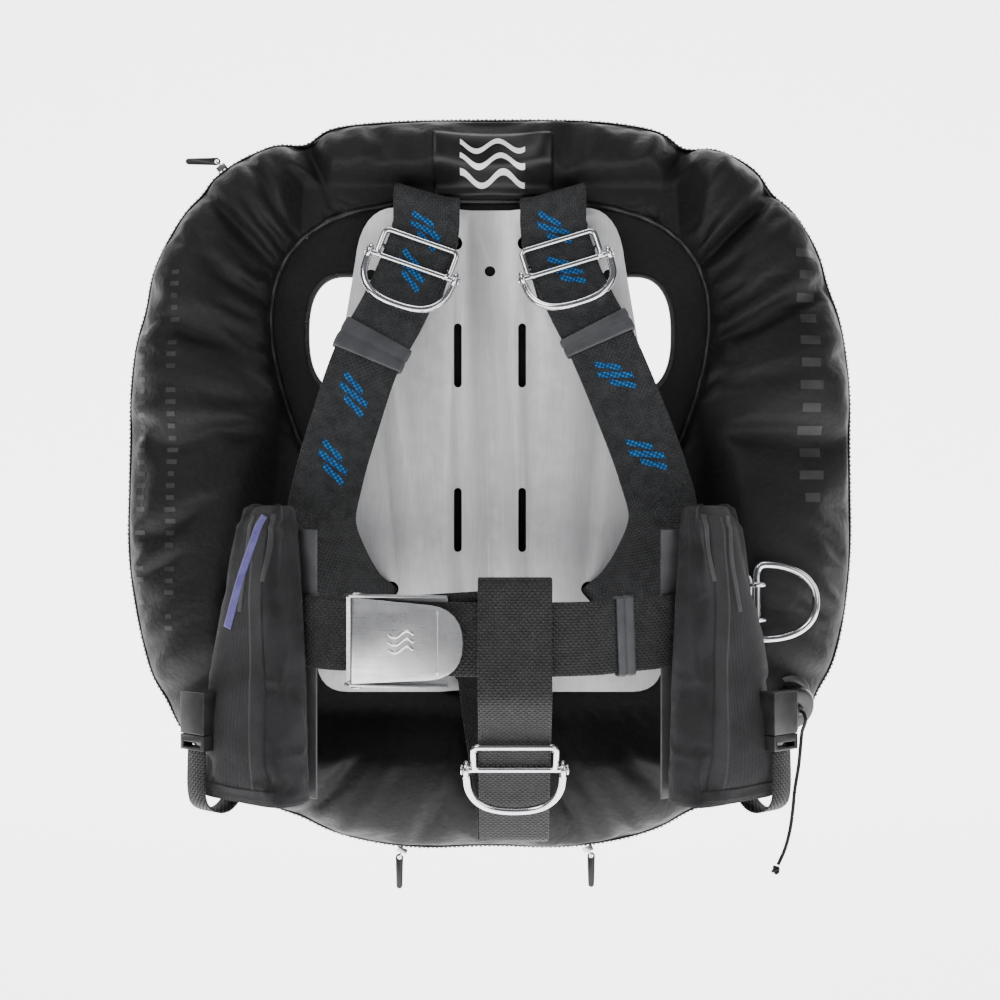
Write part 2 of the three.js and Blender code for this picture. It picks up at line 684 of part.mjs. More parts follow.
function shoulderStations(front) {
  const rise = THREE.MathUtils.radToDeg(TOP_SLOT.tilt);
  const top = SLOT_RUN.map(([along, depth, roll]) => {
    const x = TOP_SLOT.x - Math.sin(TOP_SLOT.tilt) * Math.min(along, 0);
    return [x, WEB_FRONT_Y + depth, TOP_SLOT.z + Math.cos(TOP_SLOT.tilt) * along, rise, roll];
  });
  const middle = (WEB_REAR_Y + WEB_FRONT_Y) / 2;
  const lean = THREE.MathUtils.radToDeg(LOWER_SLOT.tilt);
  const bottom = [
    [14, WEB_FRONT_Y - 7], [4.5, WEB_FRONT_Y - 0.6], [0, middle], [-4.6, WEB_REAR_Y],
    [-9, WEB_REAR_Y + 0.4],
  ];
  return [...top, ...front, ...bottom.map(([distance, y]) => {
    const x = LOWER_SLOT.x - Math.sin(LOWER_SLOT.tilt) * distance;
    return [x, y, LOWER_SLOT.z + Math.cos(LOWER_SLOT.tilt) * distance, lean];
  })];
}

function slideGeometry() {
  const ring = wireLoop(roundedLoop(SLIDE_HALF_WIDTH, SLIDE_HALF_HEIGHT, 4, ROD_OFFSET), FRAME_ROD_R);
  const reach = SLIDE_HALF_WIDTH;
  const staple = tube([
    vec(-reach, 0, ROD_OFFSET), vec(-reach, 0, 0), vec(-reach + 1, 0, -ROD_OFFSET + 1),
    vec(-reach + 4, 0, -ROD_OFFSET), vec(0, 0, -ROD_OFFSET), vec(reach - 4, 0, -ROD_OFFSET),
    vec(reach - 1, 0, -ROD_OFFSET + 1), vec(reach, 0, 0), vec(reach, 0, ROD_OFFSET),
  ], FRAME_ROD_R * 0.9, 6, 16);
  const pins = [-1, 1].map((side) => {
    const headStart = RING_HALF_WIDTH + EYE_WIRE_R + PIN_PLAY;
    const stub = rod(FRAME_ROD_R, SLIDE_HALF_WIDTH - 3, headStart + 0.5, 10);
    const head = rod(FRAME_ROD_R + PIN_HEAD_RISE, headStart, headStart + 2 - PIN_PLAY, 10);
    const pin = join(stub, head).rotateY((side * Math.PI) / 2);
    return pin.translate(0, -SLIDE_HALF_HEIGHT, ROD_OFFSET);
  });
  return join(ring, staple, ...pins);
}

// The ring hangs from two eyes; local origin on its pin axis, depth along -y.
function ringGeometry(depth = RING_DEPTH) {
  const count = 9;
  const arc = Array.from({ length: count }, (_, i) => {
    const angle = Math.PI * (1 + i / (count - 1));
    const x = RING_HALF_WIDTH * power(Math.cos(angle), 0.75);
    return vec(x, -EYE_R + (depth - EYE_R) * power(Math.sin(angle), 0.85), 0);
  });
  const eyes = [-1, 1].map((side) => {
    const eye = new THREE.TorusGeometry(EYE_R, EYE_WIRE_R, 6, 12);
    return eye.rotateY(Math.PI / 2).translate(side * RING_HALF_WIDTH, 0, 0);
  });
  return join(tube(arc, RING_WIRE_R, 8, 20), ...eyes);
}

function addSlideAndRing(slideName, ringName, frame, tilt) {
  add(slideName, slideGeometry(), BRIGHT_STEEL, frame);
  const pin = frame.origin.clone().addScaledVector(frame.y, -SLIDE_HALF_HEIGHT);
  pin.addScaledVector(frame.z, ROD_OFFSET);
  const y = frame.y.clone().multiplyScalar(Math.cos(tilt)).addScaledVector(frame.z, -Math.sin(tilt));
  add(ringName, ringGeometry(), BRIGHT_STEEL, { origin: pin, x: frame.x, y, z: frame.x.clone().cross(y) });
}

function addShoulder(name, side, slideAt, tilt, keepers) {
  const path = new StrapPath(shoulderStations(FRONT_ROUTE[name]), side);
  add(`shoulder_strap_${name}`, path.ribbon(), WEBBING);
  const frame = flatFrame(path.at(slideAt));
  addSlideAndRing(`shoulder_slide_${name}`, `shoulder_ring_${name}`, frame, tilt);
  add(`shoulder_keeper_${name}`, path.sleeve(...keepers), GREY_RUBBER);
}

// Turns a frame so that x points to the wearer's left and z away from the diver's body.
function flatFrame(frame) {
  if (frame.z.y < 0) return frame;
  return { origin: frame.origin, x: frame.x, y: frame.y.clone().negate(), z: frame.z.clone().negate() };
}

// ---------- waist belt ----------
// Depth of a belt layer in front of the wearer, on either side of the flat middle.
function beltFront(x, offset) {
  return BELT_FRONT_Y - offset + Math.max(Math.abs(x) - BELT_BEND_X, 0) * Math.tan(BUCKLE_YAW);
}

function beltStations(end) {
  const [rear, front] = BELT_SIDE;
  const corner = HIP_CORNER;
  const sidePoint = (share, z) => [lerp(rear[0], front[0], share), lerp(rear[1], front[1], share), z];
  return [
    [112, WEB_REAR_Y, -126], [124, WEB_REAR_Y, -126], [134, WEB_REAR_Y + 0.2, -126],
    [139.5, -18.2, -126], [145, -24.4, -126], [164, -41, BELT_REAR_Z], [181, -54.5, -124.4],
    [187, -59, -124], [corner.x, corner.y, -124], [189, -70.5, -124.5],
    sidePoint(0, BELT_REAR_Z), sidePoint(0.2, -126.5), sidePoint(0.8, -131), sidePoint(1, -132),
    ...end,
  ];
}

function addBelt() {
  const rearLayer = [
    [105, -133], [80, -132], [55, -130.5], [30, -128.5], [10, -127], [-10, -126], [-26, -125.5],
    [-42, -125],
  ].map(([x, z]) => [x, x > 0 ? beltFront(x, 0) : BELT_FRONT_Y, z]);
  const right = new StrapPath(beltStations(rearLayer), -1);
  add('belt_right', right.ribbon(), WEBBING);
  const frontY = BELT_FRONT_Y - BUCKLE_LAYER;
  const lift = BUCKLE_LAYER / Math.cos(BUCKLE_YAW);
  const inBuckle = [-30, -55, -84].map((x) => [x, beltFront(x, lift), BELT_Z]);
  const frontLayer = [
    [100, -142.5, -133], [78, -154.5, BELT_Z], [60, -162.8, BELT_Z], [46, -165.9, BELT_Z],
    [30, frontY, BELT_Z], [10, frontY, BELT_Z], [-10, frontY, BELT_Z], ...inBuckle,
  ];
  const left = new StrapPath(beltStations(frontLayer), 1);
  add('belt_left', left.ribbon(), WEBBING);
  add('belt_keeper', left.sleeve(14, 14.55), GREY_RUBBER);
}

// ---------- buckle ----------
// Local frame of the buckle: x along the belt, y up, z out of the belt's face; the base
// plate's back lies at z = 0.
function buckleFrame() {
  const x = vec(Math.cos(BUCKLE_YAW), -Math.sin(BUCKLE_YAW), 0);
  const z = vec(-Math.sin(BUCKLE_YAW), -Math.cos(BUCKLE_YAW), 0);
  const beltPoint = vec(BUCKLE_X, beltFront(BUCKLE_X, 0), BELT_Z - 2);
  return { origin: beltPoint.addScaledVector(z, WEB_THICK / 2 + GAP), x, y: UP, z };
}

function extruded(points, depth, z) {
  const geometry = new THREE.ExtrudeGeometry(shapeThrough(points), { depth, bevelEnabled: false });
  return geometry.translate(0, 0, z);
}

function buckleBody() {
  const half = BUCKLE_INNER_HALF;
  const [left, right] = [-BUCKLE_REACH, BUCKLE_REACH - 14];
  const width = 2 * (half + BUCKLE_WALL);
  const base = box(right - left, width, BUCKLE_BASE, (left + right) / 2, 0, BUCKLE_BASE / 2);
  const wallProfile = [
    [left, 0], [right, 0], [right, 3.2], [left + 18, WALL_PEAK], [left + 6, WALL_PEAK], [left, 6],
  ];
  const walls = [-1, 1].map((side) => {
    const wall = extruded(wallProfile, BUCKLE_WALL, 0).rotateX(Math.PI / 2);
    return wall.translate(0, side > 0 ? half + BUCKLE_WALL : -half, 0);
  });
  const loopDepth = WEB_THICK + 2 * GAP;
  const barX = left + BAR_LENGTH / 2;
  const barZ = -loopDepth - BUCKLE_WALL / 2 - BAR_PLAY;
  const bar = box(BAR_LENGTH, 2 * half + 2, BUCKLE_WALL, barX, 0, barZ);
  const posts = [-1, 1].map((side) => {
    const y = side * (half - 0.2);
    return box(BAR_LENGTH, BUCKLE_WALL, loopDepth + 2, barX, y, -loopDepth / 2 - BAR_PLAY);
  });
  const pinHole = rod(BUCKLE_PIN_R + PIN_PLAY, -half - 10, half + 10).rotateX(Math.PI / 2);
  return cut(join(base, ...walls, bar, ...posts), pinHole.translate(BUCKLE_PIN_X, 0, BUCKLE_PIN_Z));
}

function buckleLever() {
  const half = BUCKLE_INNER_HALF - PIN_PLAY;
  const knuckle = rod(KNUCKLE_R, -half, half, 20).rotateX(Math.PI / 2);
  const shape = new THREE.Shape();
  const tip = LEVER_LENGTH;
  const shoulder = tip - LEVER_NOSE;
  const edge = half - LEVER_TAPER;
  shape.moveTo(0, -half);
  shape.lineTo(shoulder, -edge);
  shape.quadraticCurveTo(tip, 2 - edge, tip, 0);
  shape.quadraticCurveTo(tip, edge - 2, shoulder, edge);
  shape.lineTo(0, half);
  shape.closePath();
  const options = { depth: LEVER_THICK, bevelEnabled: false, curveSegments: 6 };
  const plate = new THREE.ExtrudeGeometry(shape, options);
  plate.translate(0, 0, KNUCKLE_R - LEVER_THICK);
  const bore = rod(BUCKLE_PIN_R + PIN_PLAY / 2, -half - 5, half + 5, 16).rotateX(Math.PI / 2);
  return cut(join(knuckle, plate), bore);
}

function addBuckle() {
  const frame = buckleFrame();
  add('buckle_frame', buckleBody(), STEEL, frame);
  const hinge = frame.origin.clone().addScaledVector(frame.x, BUCKLE_PIN_X);
  hinge.addScaledVector(frame.z, BUCKLE_PIN_Z);
  const pinFrame = { ...frame, origin: hinge };
  const half = BUCKLE_INNER_HALF + BUCKLE_WALL;
  const shank = rod(BUCKLE_PIN_R, -half - 1, half + 1);
  const near = half + GAP;
  const far = near + PIN_HEAD;
  const heads = [[near, far], [-far, -near]].map(([from, to]) => {
    return rod(BUCKLE_PIN_R + PIN_HEAD_RISE, from, to);
  });
  add('buckle_pin', join(shank, ...heads).rotateX(Math.PI / 2), BRIGHT_STEEL, pinFrame);
  add('buckle_lever', buckleLever(), STEEL, pinFrame);
}

// ---------- crotch strap ----------
function crotchStations() {
  const front = BELT_FRONT_Y - BUCKLE_LAYER - LAYER - 0.3;
  const rear = BELT_FRONT_Y + LAYER + 0.3;
  const middle = (front + rear) / 2;
  const radius = (rear - front) / 2;
  const foldZ = -99;
  const x = CROTCH_X;
  return [
    [x, rear + 14.3, -198.4, 0], [x, rear + 7, -189, 0], [x, rear + 1.8, -181, 0], [x, rear, -170, 0],
    [x, rear, -140, 0], [x, rear, foldZ - 6, 0], [x, rear - 0.4, foldZ, 0],
    [x, middle + radius * 0.68, foldZ + radius * 0.8, 0], [x, middle, foldZ + radius * 1.12, 0],
    [x, middle - radius * 0.68, foldZ + radius * 0.8, 0], [x, front + 0.4, foldZ, 0],
    [x, front, foldZ - 6, 0], [x, front, -140, 0], [x, front, -166, 0], [x, front + 2.4, -177, 0],
    [x, front + 22, -203, 0], [x, front + 52.5, -244, 0], [x, front + 79, -280, 0],
    [x, front + 86.5, -287.5, 0], [x - 1, front + 94, -288.5, 0], [x - 1, front + 100, -282, 0],
    [x - 3, front + 104, -262, 0], [x - 8, front + 110, -232, 0], [x - 13, front + 123, -203, 0],
    [1, WEB_FRONT_Y - 5, -178, 0], [0, WEB_FRONT_Y + 3, CROTCH_SLOT_Z - 0.6, 0], [0, -12, CROTCH_SLOT_Z, 0],
    [0, -5, CROTCH_SLOT_Z, 0],
  ];
}

function addCrotchStrap() {
  const path = new StrapPath(crotchStations());
  add('crotch_strap', path.ribbon(), WEBBING);
  const frame = flatFrame(path.at(15.35));
  addSlideAndRing('crotch_slide', 'crotch_ring', frame, RING_REST_TILT);
}

// ---------- hip ring ----------
function addHipRing() {
  const corner = HIP_CORNER;
  const barX = corner.x + WEB_THICK / 2 + 8;
  const inset = WEB_THICK / 2 + GAP + FRAME_ROD_R + 0.4;
  const z = HIP_RING_Z;
  const beltZ = -124;
  const reach = WEB_WIDTH / 2 + GAP + FRAME_ROD_R + 0.4;
  const loop = wireLoop(roundedLoop(inset, reach, inset - 0.3, 0), FRAME_ROD_R);
  const place = vec(corner.x - 0.2, corner.y, 0);
  const knuckleR = RING_WIRE_R + PIN_PLAY + EYE_WIRE_R;
  const knuckles = [-13, 13].map((offset) => {
    const knuckle = new THREE.TorusGeometry(knuckleR, EYE_WIRE_R, 6, 12).rotateX(Math.PI / 2);
    return knuckle.translate(barX - place.x, z - beltZ + offset, 0);
  });
  const frame = { origin: place.clone().setZ(beltZ), x: vec(1, 0, 0), y: UP, z: vec(0, -1, 0) };
  add('hip_slide', join(loop, ...knuckles), BRIGHT_STEEL, frame);
  const half = HIP_RING_HALF;
  const points = [vec(0, -half + 6, 0), vec(0, -half / 3, 0), vec(0, half / 3, 0), vec(0, half - 6, 0)];
  for (let i = 0; i <= 14; i += 1) {
    const angle = Math.PI * (0.5 - i / 14);
    points.push(vec(HIP_RING_DEPTH * power(Math.cos(angle), 0.8), half * power(Math.sin(angle), 0.9), 0));
  }
  points.splice(4, 1, vec(2.5, half - 1.2, 0));
  points.splice(points.length - 1, 1, vec(2.5, 1.2 - half, 0));
  const ring = wireLoop(points, RING_WIRE_R);
  const origin = vec(barX, corner.y, z);
  add('hip_ring', ring, BRIGHT_STEEL, { origin, x: vec(1, 0, 0), y: UP, z: vec(0, -1, 0) });
}

// ---------- ballast pockets ----------
// Height, half width along the belt, thickness out from the belt.
const POCKET_SECTIONS = [
  [POCKET_TOP_Z, 24, 12], [-60, 29, 17], [-108, 36, 24], [-165, 42, 33], [-215, 45, 38],
  [POCKET_BOTTOM_Z, 46, 40],
];

function pocketFrame(side) {
  const [rear, front] = BELT_SIDE.map(([x, y]) => vec(x, y, 0));
  const middle = rear.clone().add(front).multiplyScalar(0.5);
  const along = rear.clone().sub(front).normalize();
  const out = vec(-along.y, along.x, 0).multiplyScalar(-1);
  const origin = middle.addScaledVector(out, WEB_THICK / 2 + GAP + POCKET_STAND_OFF);
  origin.x *= side;
  const x = vec(side * along.x, along.y, 0).multiplyScalar(side);
  return { origin, x, y: UP, z: vec(side * out.x, out.y, 0) };
}

function pocketLoft(inset, topInset, bottomExtra) {
  const rings = POCKET_SECTIONS.map(([height, halfWidth, thick], i) => {
    let y = height;
    if (i === 0) y -= topInset;
    if (i === POCKET_SECTIONS.length - 1) y -= bottomExtra;
    const half = halfWidth - inset;
    const [near, far] = [inset, thick - inset];
    const corner = Math.min(6, (far - near) / 3);
    const ring = [];
    [[1, 1], [-1, 1], [-1, -1], [1, -1]].forEach(([sx, sz], quarter) => {
      for (let k = 0; k <= 2; k += 1) {
        const angle = (Math.PI / 2) * (quarter + k / 2);
        const x = sx * (half - corner) + corner * Math.cos(angle);
        const z = (near + far) / 2 + sz * ((far - near) / 2 - corner) + corner * Math.sin(angle);
        ring.push(vec(x, y, z));
      }
    });
    return ring;
  });
  return loft(rings);
}

function webbingLoop(points, width) {
  const path = new THREE.CatmullRomCurve3(points, false, 'centripetal');
  const steps = (points.length - 1) * 3;
  const rings = Array.from({ length: steps + 1 }, (_, i) => {
    const centre = path.getPoint(i / steps);
    const normal = path.getTangent(i / steps).cross(vec(1, 0, 0)).normalize();
    return [[-1, -1], [1, -1], [1, 1], [-1, 1]].map(([side, face]) => {
      const edge = centre.clone().add(vec((side * width) / 2, 0, 0));
      return edge.addScaledVector(normal, (face * HANDLE_THICK) / 2);
    });
  });
  return loft(rings);
}

function addPocket(name, side) {
  const frame = pocketFrame(side);
  const rear = side;
  const sleeve = cut(pocketLoft(0, 0, 0), pocketLoft(POCKET_WALL, POCKET_WALL, 4));
  add(`pocket_sleeve_${name}`, sleeve, POCKET_CLOTH, frame);
  const play = POCKET_WALL + POUCH_PLAY;
  add(`ballast_pouch_${name}`, pocketLoft(play, POCKET_WALL + 8, 1.5), POCKET_CLOTH, frame);
  const beltDepth = 2 * POCKET_STAND_OFF + WEB_THICK + 2 * GAP;
  const { width, height, thick } = BACKING;
  const backing = box(width, height, thick, 0, POCKET_BOTTOM_Z + height / 2, -beltDepth - thick / 2);
  add(`pocket_backing_${name}`, backing, PALE_CLOTH, frame);
  addReleaseBuckle(name, frame, rear);
  return frame;
}

function addReleaseBuckle(name, frame, rear) {
  const x = rear * RELEASE.x;
  const face = POCKET_SECTIONS.at(-1)[2] + GAP + 0.5;
  const middle = face + RELEASE.thick / 2;
  const half = RELEASE.width / 2;
  const socketY = RELEASE.z + RELEASE.socket / 2;
  const shell = box(RELEASE.width, RELEASE.socket, RELEASE.thick, x, socketY, middle);
  const mouthWidth = RELEASE.width - 2 * RELEASE.wall;
  const mouthThick = RELEASE.thick - 2 * RELEASE.wall;
  const mouth = box(mouthWidth, RELEASE.socket, mouthThick, x, socketY - 4, middle);
  const anchorY = RELEASE.z + RELEASE.socket - ANCHOR.height / 2;
  const anchorDepth = face - RELEASE.anchorNear + 1;
  const anchorZ = RELEASE.anchorNear + anchorDepth / 2;
  const anchorX = rear * (RELEASE.x - ANCHOR.shift);
  const anchor = box(ANCHOR.width, ANCHOR.height, anchorDepth, anchorX, anchorY, anchorZ);
  add(`release_socket_${name}`, cut(join(shell, anchor), mouth), BLACK_PLASTIC, frame);
  const baseTop = RELEASE.z - PIN_PLAY;
  const base = box(RELEASE.width, PLUG.base, RELEASE.thick, x, baseTop - PLUG.base / 2, middle);
  const slot = box(RELEASE.width - 7, PLUG.slot, RELEASE.thick + 4, x, baseTop - 7, middle);
  const prongs = [-1, 1].map((edge) => {
    const prongX = x + edge * (half - RELEASE.wall - PIN_PLAY - PLUG.prong / 2);
    const prongThick = mouthThick - 2 * PIN_PLAY;
    return box(PLUG.prong, PLUG.reach, prongThick, prongX, baseTop + PLUG.reach / 2 - 1, middle);
  });
  const tongue = box(3.5, PLUG.tongue, 2.4, x, baseTop + PLUG.tongue / 2 - 1, middle);
  add(`release_plug_${name}`, cut(join(base, ...prongs, tongue), slot), BLACK_PLASTIC, frame);
  const y = baseTop - PLUG.base - GAP;
  const bottom = POCKET_BOTTOM_Z - 1.5 - HANDLE_THICK / 2 - GAP;
  const loop = webbingLoop([
    vec(x, y, middle), vec(x, bottom + 6, middle), vec(x, bottom - 3, middle - 3),
    vec(x, bottom - 9, middle - 13), vec(x, bottom - 9, middle - 22),
    vec(x, bottom - 5, middle - 29), vec(x, bottom - 0.4, middle - 33), vec(x, bottom, middle - 38),
  ], HANDLE_WIDTH);
  add(`pouch_handle_${name}`, loop, WEBBING, frame);
}

// Thickness of a pocket at a height.
function pocketFace(y) {
  const index = POCKET_SECTIONS.findIndex(([height]) => height <= y);
  const [above, below] = [POCKET_SECTIONS[index - 1], POCKET_SECTIONS[index]];
  return lerp(above[2], below[2], (above[0] - y) / (above[0] - below[0]));
}

function addPocketLabel(frame) {
  const heights = [-50, POCKET_SECTIONS[1][0], POCKET_SECTIONS[2][0], -130];
  const rings = heights.map((y) => {
    const [half, x] = [LABEL_WIDTH / 2, lerp(4, -18, (y + 50) / -80)];
    const z = pocketFace(y) + GAP;
    return [[-half, 0], [half, 0], [half, LABEL_THICK], [-half, LABEL_THICK]].map(([dx, dz]) => {
      return vec(x + dx, y, z + dz);
    });
  });
  add('pocket_label', loft(rings), LABEL, frame);
}

// ---------- fittings on the wing ----------
// Frame on the wing's skin: z out of the skin, y as near up as it can be.
function skinFrame(angle, share, rearSide, lift) {
  const sample = (a, s) => {
    const { inner, outward, outline } = wingSection(a);
    const side = rearSide ? outline.slice(SKIN_STEPS).reverse() : outline.slice(0, SKIN_STEPS);
    const place = s * (SKIN_STEPS - 1);
    const index = Math.min(Math.floor(place), SKIN_STEPS - 2);
    const [out, y] = [0, 1].map((k) => lerp(side[index][k], side[index + 1][k], place - index));
    const point = inner.clone().addScaledVector(outward, out);
    return vec(point.x, y, point.z);
  };
  const origin = sample(angle, share);
  const round = sample(angle + 0.03, share).sub(sample(angle - 0.03, share)).normalize();
  const across = sample(angle, share + 0.04).sub(sample(angle, share - 0.04)).normalize();
  const z = round.cross(across).normalize();
  if (z.y > 0 !== rearSide) z.negate();
  const y = UP.clone().addScaledVector(z, -UP.dot(z)).normalize();
  return { origin: origin.addScaledVector(z, lift), x: y.clone().cross(z), y, z };
}

function addDumpValve() {
  const frame = skinFrame(VALVE_ANGLE, VALVE_SHARE, false, VALVE_LIFT);
  const base = turned([
    [VALVE_BORE_R, 0], [VALVE_FLANGE_R, 0], [VALVE_FLANGE_R, 2], [18, VALVE_FLANGE_THICK],
    [VALVE_COLLAR_R, VALVE_FLANGE_THICK], [VALVE_COLLAR_R, 9], [VALVE_BORE_R, 9],
  ]);
  add('dump_valve_base', base, BLACK_PLASTIC, frame);
  const inner = VALVE_COLLAR_R + GAP;
  const outer = inner + CAP_WALL;
  const hole = VALVE_STEM_R + PIN_PLAY;
  const cap = turned([
    [inner, CAP_FOOT], [outer, CAP_FOOT], [outer, 13], [inner, CAP_TOP], [hole, CAP_TOP],
    [hole, CAP_CEILING], [inner, CAP_CEILING],
  ]);
  add('dump_valve_cap', cap, BLACK_PLASTIC, frame);
  const stem = VALVE_STEM_R;
  const head = CAP_TOP + GAP;
  const disc = VALVE_BORE_R - 0.6;
  const poppet = turned([
    [0, 1], [disc, 1], [disc, DISC_TOP], [stem, DISC_TOP], [stem, head], [3.8, head],
    [3.8, head + 2.4], [0, head + 3],
  ]);
  add('dump_valve_poppet', poppet, BLACK_PLASTIC, frame);
  const turns = 3;
  const margin = SPRING_WIRE_R + GAP;
  const coil = Array.from({ length: turns * 8 + 1 }, (_, i) => {
    const angle = (Math.PI * i) / 4;
    const height = lerp(DISC_TOP + margin, CAP_CEILING - margin, i / (turns * 8));
    return vec(SPRING_R * Math.cos(angle), SPRING_R * Math.sin(angle), height);
  });
  add('dump_valve_spring', tube(coil, SPRING_WIRE_R, 6, turns * 10), BRIGHT_STEEL, frame);
  const exit = frame.origin.clone().addScaledVector(frame.z, head + 3 + GAP);
  const route = [
    exit, exit.clone().addScaledVector(frame.z, 3),
    exit.clone().addScaledVector(frame.z, 5.5).add(vec(0, 0, -4)),
    ...DUMP_CORD_ROUTE.map(([x, y, z]) => vec(x, y, z)),
  ];
  const path = new THREE.CatmullRomCurve3(route, false, 'centripetal');
  const cord = new THREE.ExtrudeGeometry(circle(CORD_R, 8), { steps: 32, extrudePath: path });
  add('dump_cord', cord, BLACK_NYLON);
  const end = route.at(-1);
  const down = path.getTangent(1);
  const knot = new THREE.SphereGeometry(KNOT_R, 10, 7).scale(1, 1, KNOT_STRETCH);
  const knotAt = end.clone().addScaledVector(down, KNOT_R * KNOT_STRETCH + GAP);
  add('dump_cord_knot', knot.translate(knotAt.x, knotAt.y, knotAt.z), BLACK_NYLON);
}

function addInflatorPort() {
  const frame = skinFrame(PORT_ANGLE, 0.5, true, PORT_LIFT);
  const { bore, flange, neck, height } = PORT;
  const port = turned([
    [bore, 0], [flange, 0], [flange, 2.4], [neck, 3.4], [neck, height], [bore, height],
  ]);
  add('inflator_port', port, BLACK_PLASTIC, frame);
}

// Patch sewn flat on the front skin at the top of the wing, carried straight across from the
// section midway between its two top stations.
function addTopPatch() {
  const angles = wingAngles(WING_STATIONS);
  const line = (lift) => {
    const [start, end] = [WING_STATIONS / 4 - 1, WING_STATIONS / 4].map((i) => {
      return wingRing(angles[i], -lift, ...PATCH_ROWS);
    });
    return start.map((point, i) => point.clone().lerp(end[i], 0.5));
  };
  const outline = [...line(PATCH_LIFT + PATCH_THICK), ...line(PATCH_LIFT).reverse()];
  const shape = new THREE.Shape(outline.map(({ y, z }) => new THREE.Vector2(y, z)));
  const geometry = new THREE.ExtrudeGeometry(shape, { depth: PATCH_WIDTH, bevelEnabled: false });
  geometry.translate(0, 0, -PATCH_WIDTH / 2);
  geometry.applyMatrix4(new THREE.Matrix4().makeBasis(vec(0, 1, 0), UP, vec(1, 0, 0)));
  add('top_patch', geometry, BLACK_NYLON);
}

// Slider at an angle round the zip, with a pull tab on its bail. The tab points away from
// its hinge by a turn from straight down.
function addZipSlider(name, angle, pullTurn) {
  const outer = outerSeam(angle);
  const outward = outer.clone().sub(innerSeam(angle)).normalize();
  const origin = outer.addScaledVector(outward, ZIP_THICK - SKIN + 3.5 * GAP).setY(WING_MID_Y);
  const x = vec(0, 1, 0);
  const { length, thick, width } = SLIDER;
  const body = box(length, thick, width, 0, thick / 2, 0).rotateY(Math.PI / 2);
  const bailLoop = roundedLoop(BAIL.halfWidth, BAIL.halfHeight, 2.2, 0);
  const bail = wireLoop(bailLoop, BAIL.wire).translate(0, BAIL.y, 0);
  const sliderFrame = { origin, x, y: outward, z: x.clone().cross(outward) };
  add(`zip_slider_${name}`, join(body, bail), STEEL, sliderFrame);
  const tab = new THREE.Shape();
  tab.absarc(0, 0, PULL.top, 0, Math.PI);
  tab.lineTo(-PULL.tip, -PULL.length);
  tab.absarc(0, -PULL.length, PULL.tip, Math.PI, 2 * Math.PI);
  const hole = new THREE.Path();
  hole.absarc(0, 0, PULL.hole, 0, 2 * Math.PI);
  tab.holes.push(hole);
  const depth = PULL.thick;
  const pull = new THREE.ExtrudeGeometry(tab, { depth, bevelEnabled: false, curveSegments: 6 });
  const pin = origin.clone().addScaledVector(outward, BAIL.y + BAIL.halfHeight);
  const up = vec(Math.sin(pullTurn), 0, Math.cos(pullTurn));
  const frame = { origin: pin, x: vec(up.z, 0, -up.x), y: up, z: vec(0, -1, 0) };
  add(`zip_pull_${name}`, pull.translate(0, 0, -depth / 2), GREY_RUBBER, frame);
}

addWing();
add('backplate', backplate(), STEEL);
addShoulder('left', 1, SLOT_RUN.length, THREE.MathUtils.degToRad(16), [20.6, 21.1]);
addShoulder('right', -1, SLOT_RUN.length, RING_REST_TILT, [20.5, 21]);
addBelt();
addBuckle();
addCrotchStrap();
addHipRing();
addPocket('left', 1);
addPocketLabel(addPocket('right', -1));
addDumpValve();
addInflatorPort();
addTopPatch();
addZipSlider('top', THREE.MathUtils.degToRad(128), Math.PI / 2);
addZipSlider('lower_right', THREE.MathUtils.degToRad(260.5), 0);
addZipSlider('lower_left', THREE.MathUtils.degToRad(280.9), 0);

export default vest;
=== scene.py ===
"""Looks for the buoyancy compensator vest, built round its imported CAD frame.

Every soft piece is rebuilt here as cloth, webbing or cord and rides on the CAD body that
carries it. Hard CAD nodes get bevelled copies or smooth sweeps. Lengths in the tables are
millimetres, as in the part's source, and are turned into metres when a mesh is made.
"""

import logging
import math
from dataclasses import dataclass, field
from enum import Enum
from typing import Callable, Iterable, Optional, Sequence

import bmesh
import bpy
import numpy as np
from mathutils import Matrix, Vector
from mathutils.bvhtree import BVHTree


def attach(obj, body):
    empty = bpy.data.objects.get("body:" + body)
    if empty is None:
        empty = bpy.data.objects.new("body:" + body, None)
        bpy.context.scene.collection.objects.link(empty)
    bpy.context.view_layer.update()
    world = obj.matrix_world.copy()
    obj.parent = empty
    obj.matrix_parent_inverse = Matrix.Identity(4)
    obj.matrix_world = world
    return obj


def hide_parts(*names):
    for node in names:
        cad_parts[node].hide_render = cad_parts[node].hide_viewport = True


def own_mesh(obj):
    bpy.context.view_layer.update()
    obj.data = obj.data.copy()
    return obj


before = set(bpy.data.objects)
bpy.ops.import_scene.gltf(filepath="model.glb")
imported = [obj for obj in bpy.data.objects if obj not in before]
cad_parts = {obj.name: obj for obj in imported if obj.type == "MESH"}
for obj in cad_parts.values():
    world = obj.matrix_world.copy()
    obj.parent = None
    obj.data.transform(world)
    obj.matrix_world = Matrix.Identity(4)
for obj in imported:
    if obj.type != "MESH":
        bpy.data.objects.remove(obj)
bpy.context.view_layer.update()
LOG = logging.getLogger("vest")
Array = np.ndarray
Object = bpy.types.Object
Socket = bpy.types.NodeSocket
MM = 0.001
ROOT = "harness"

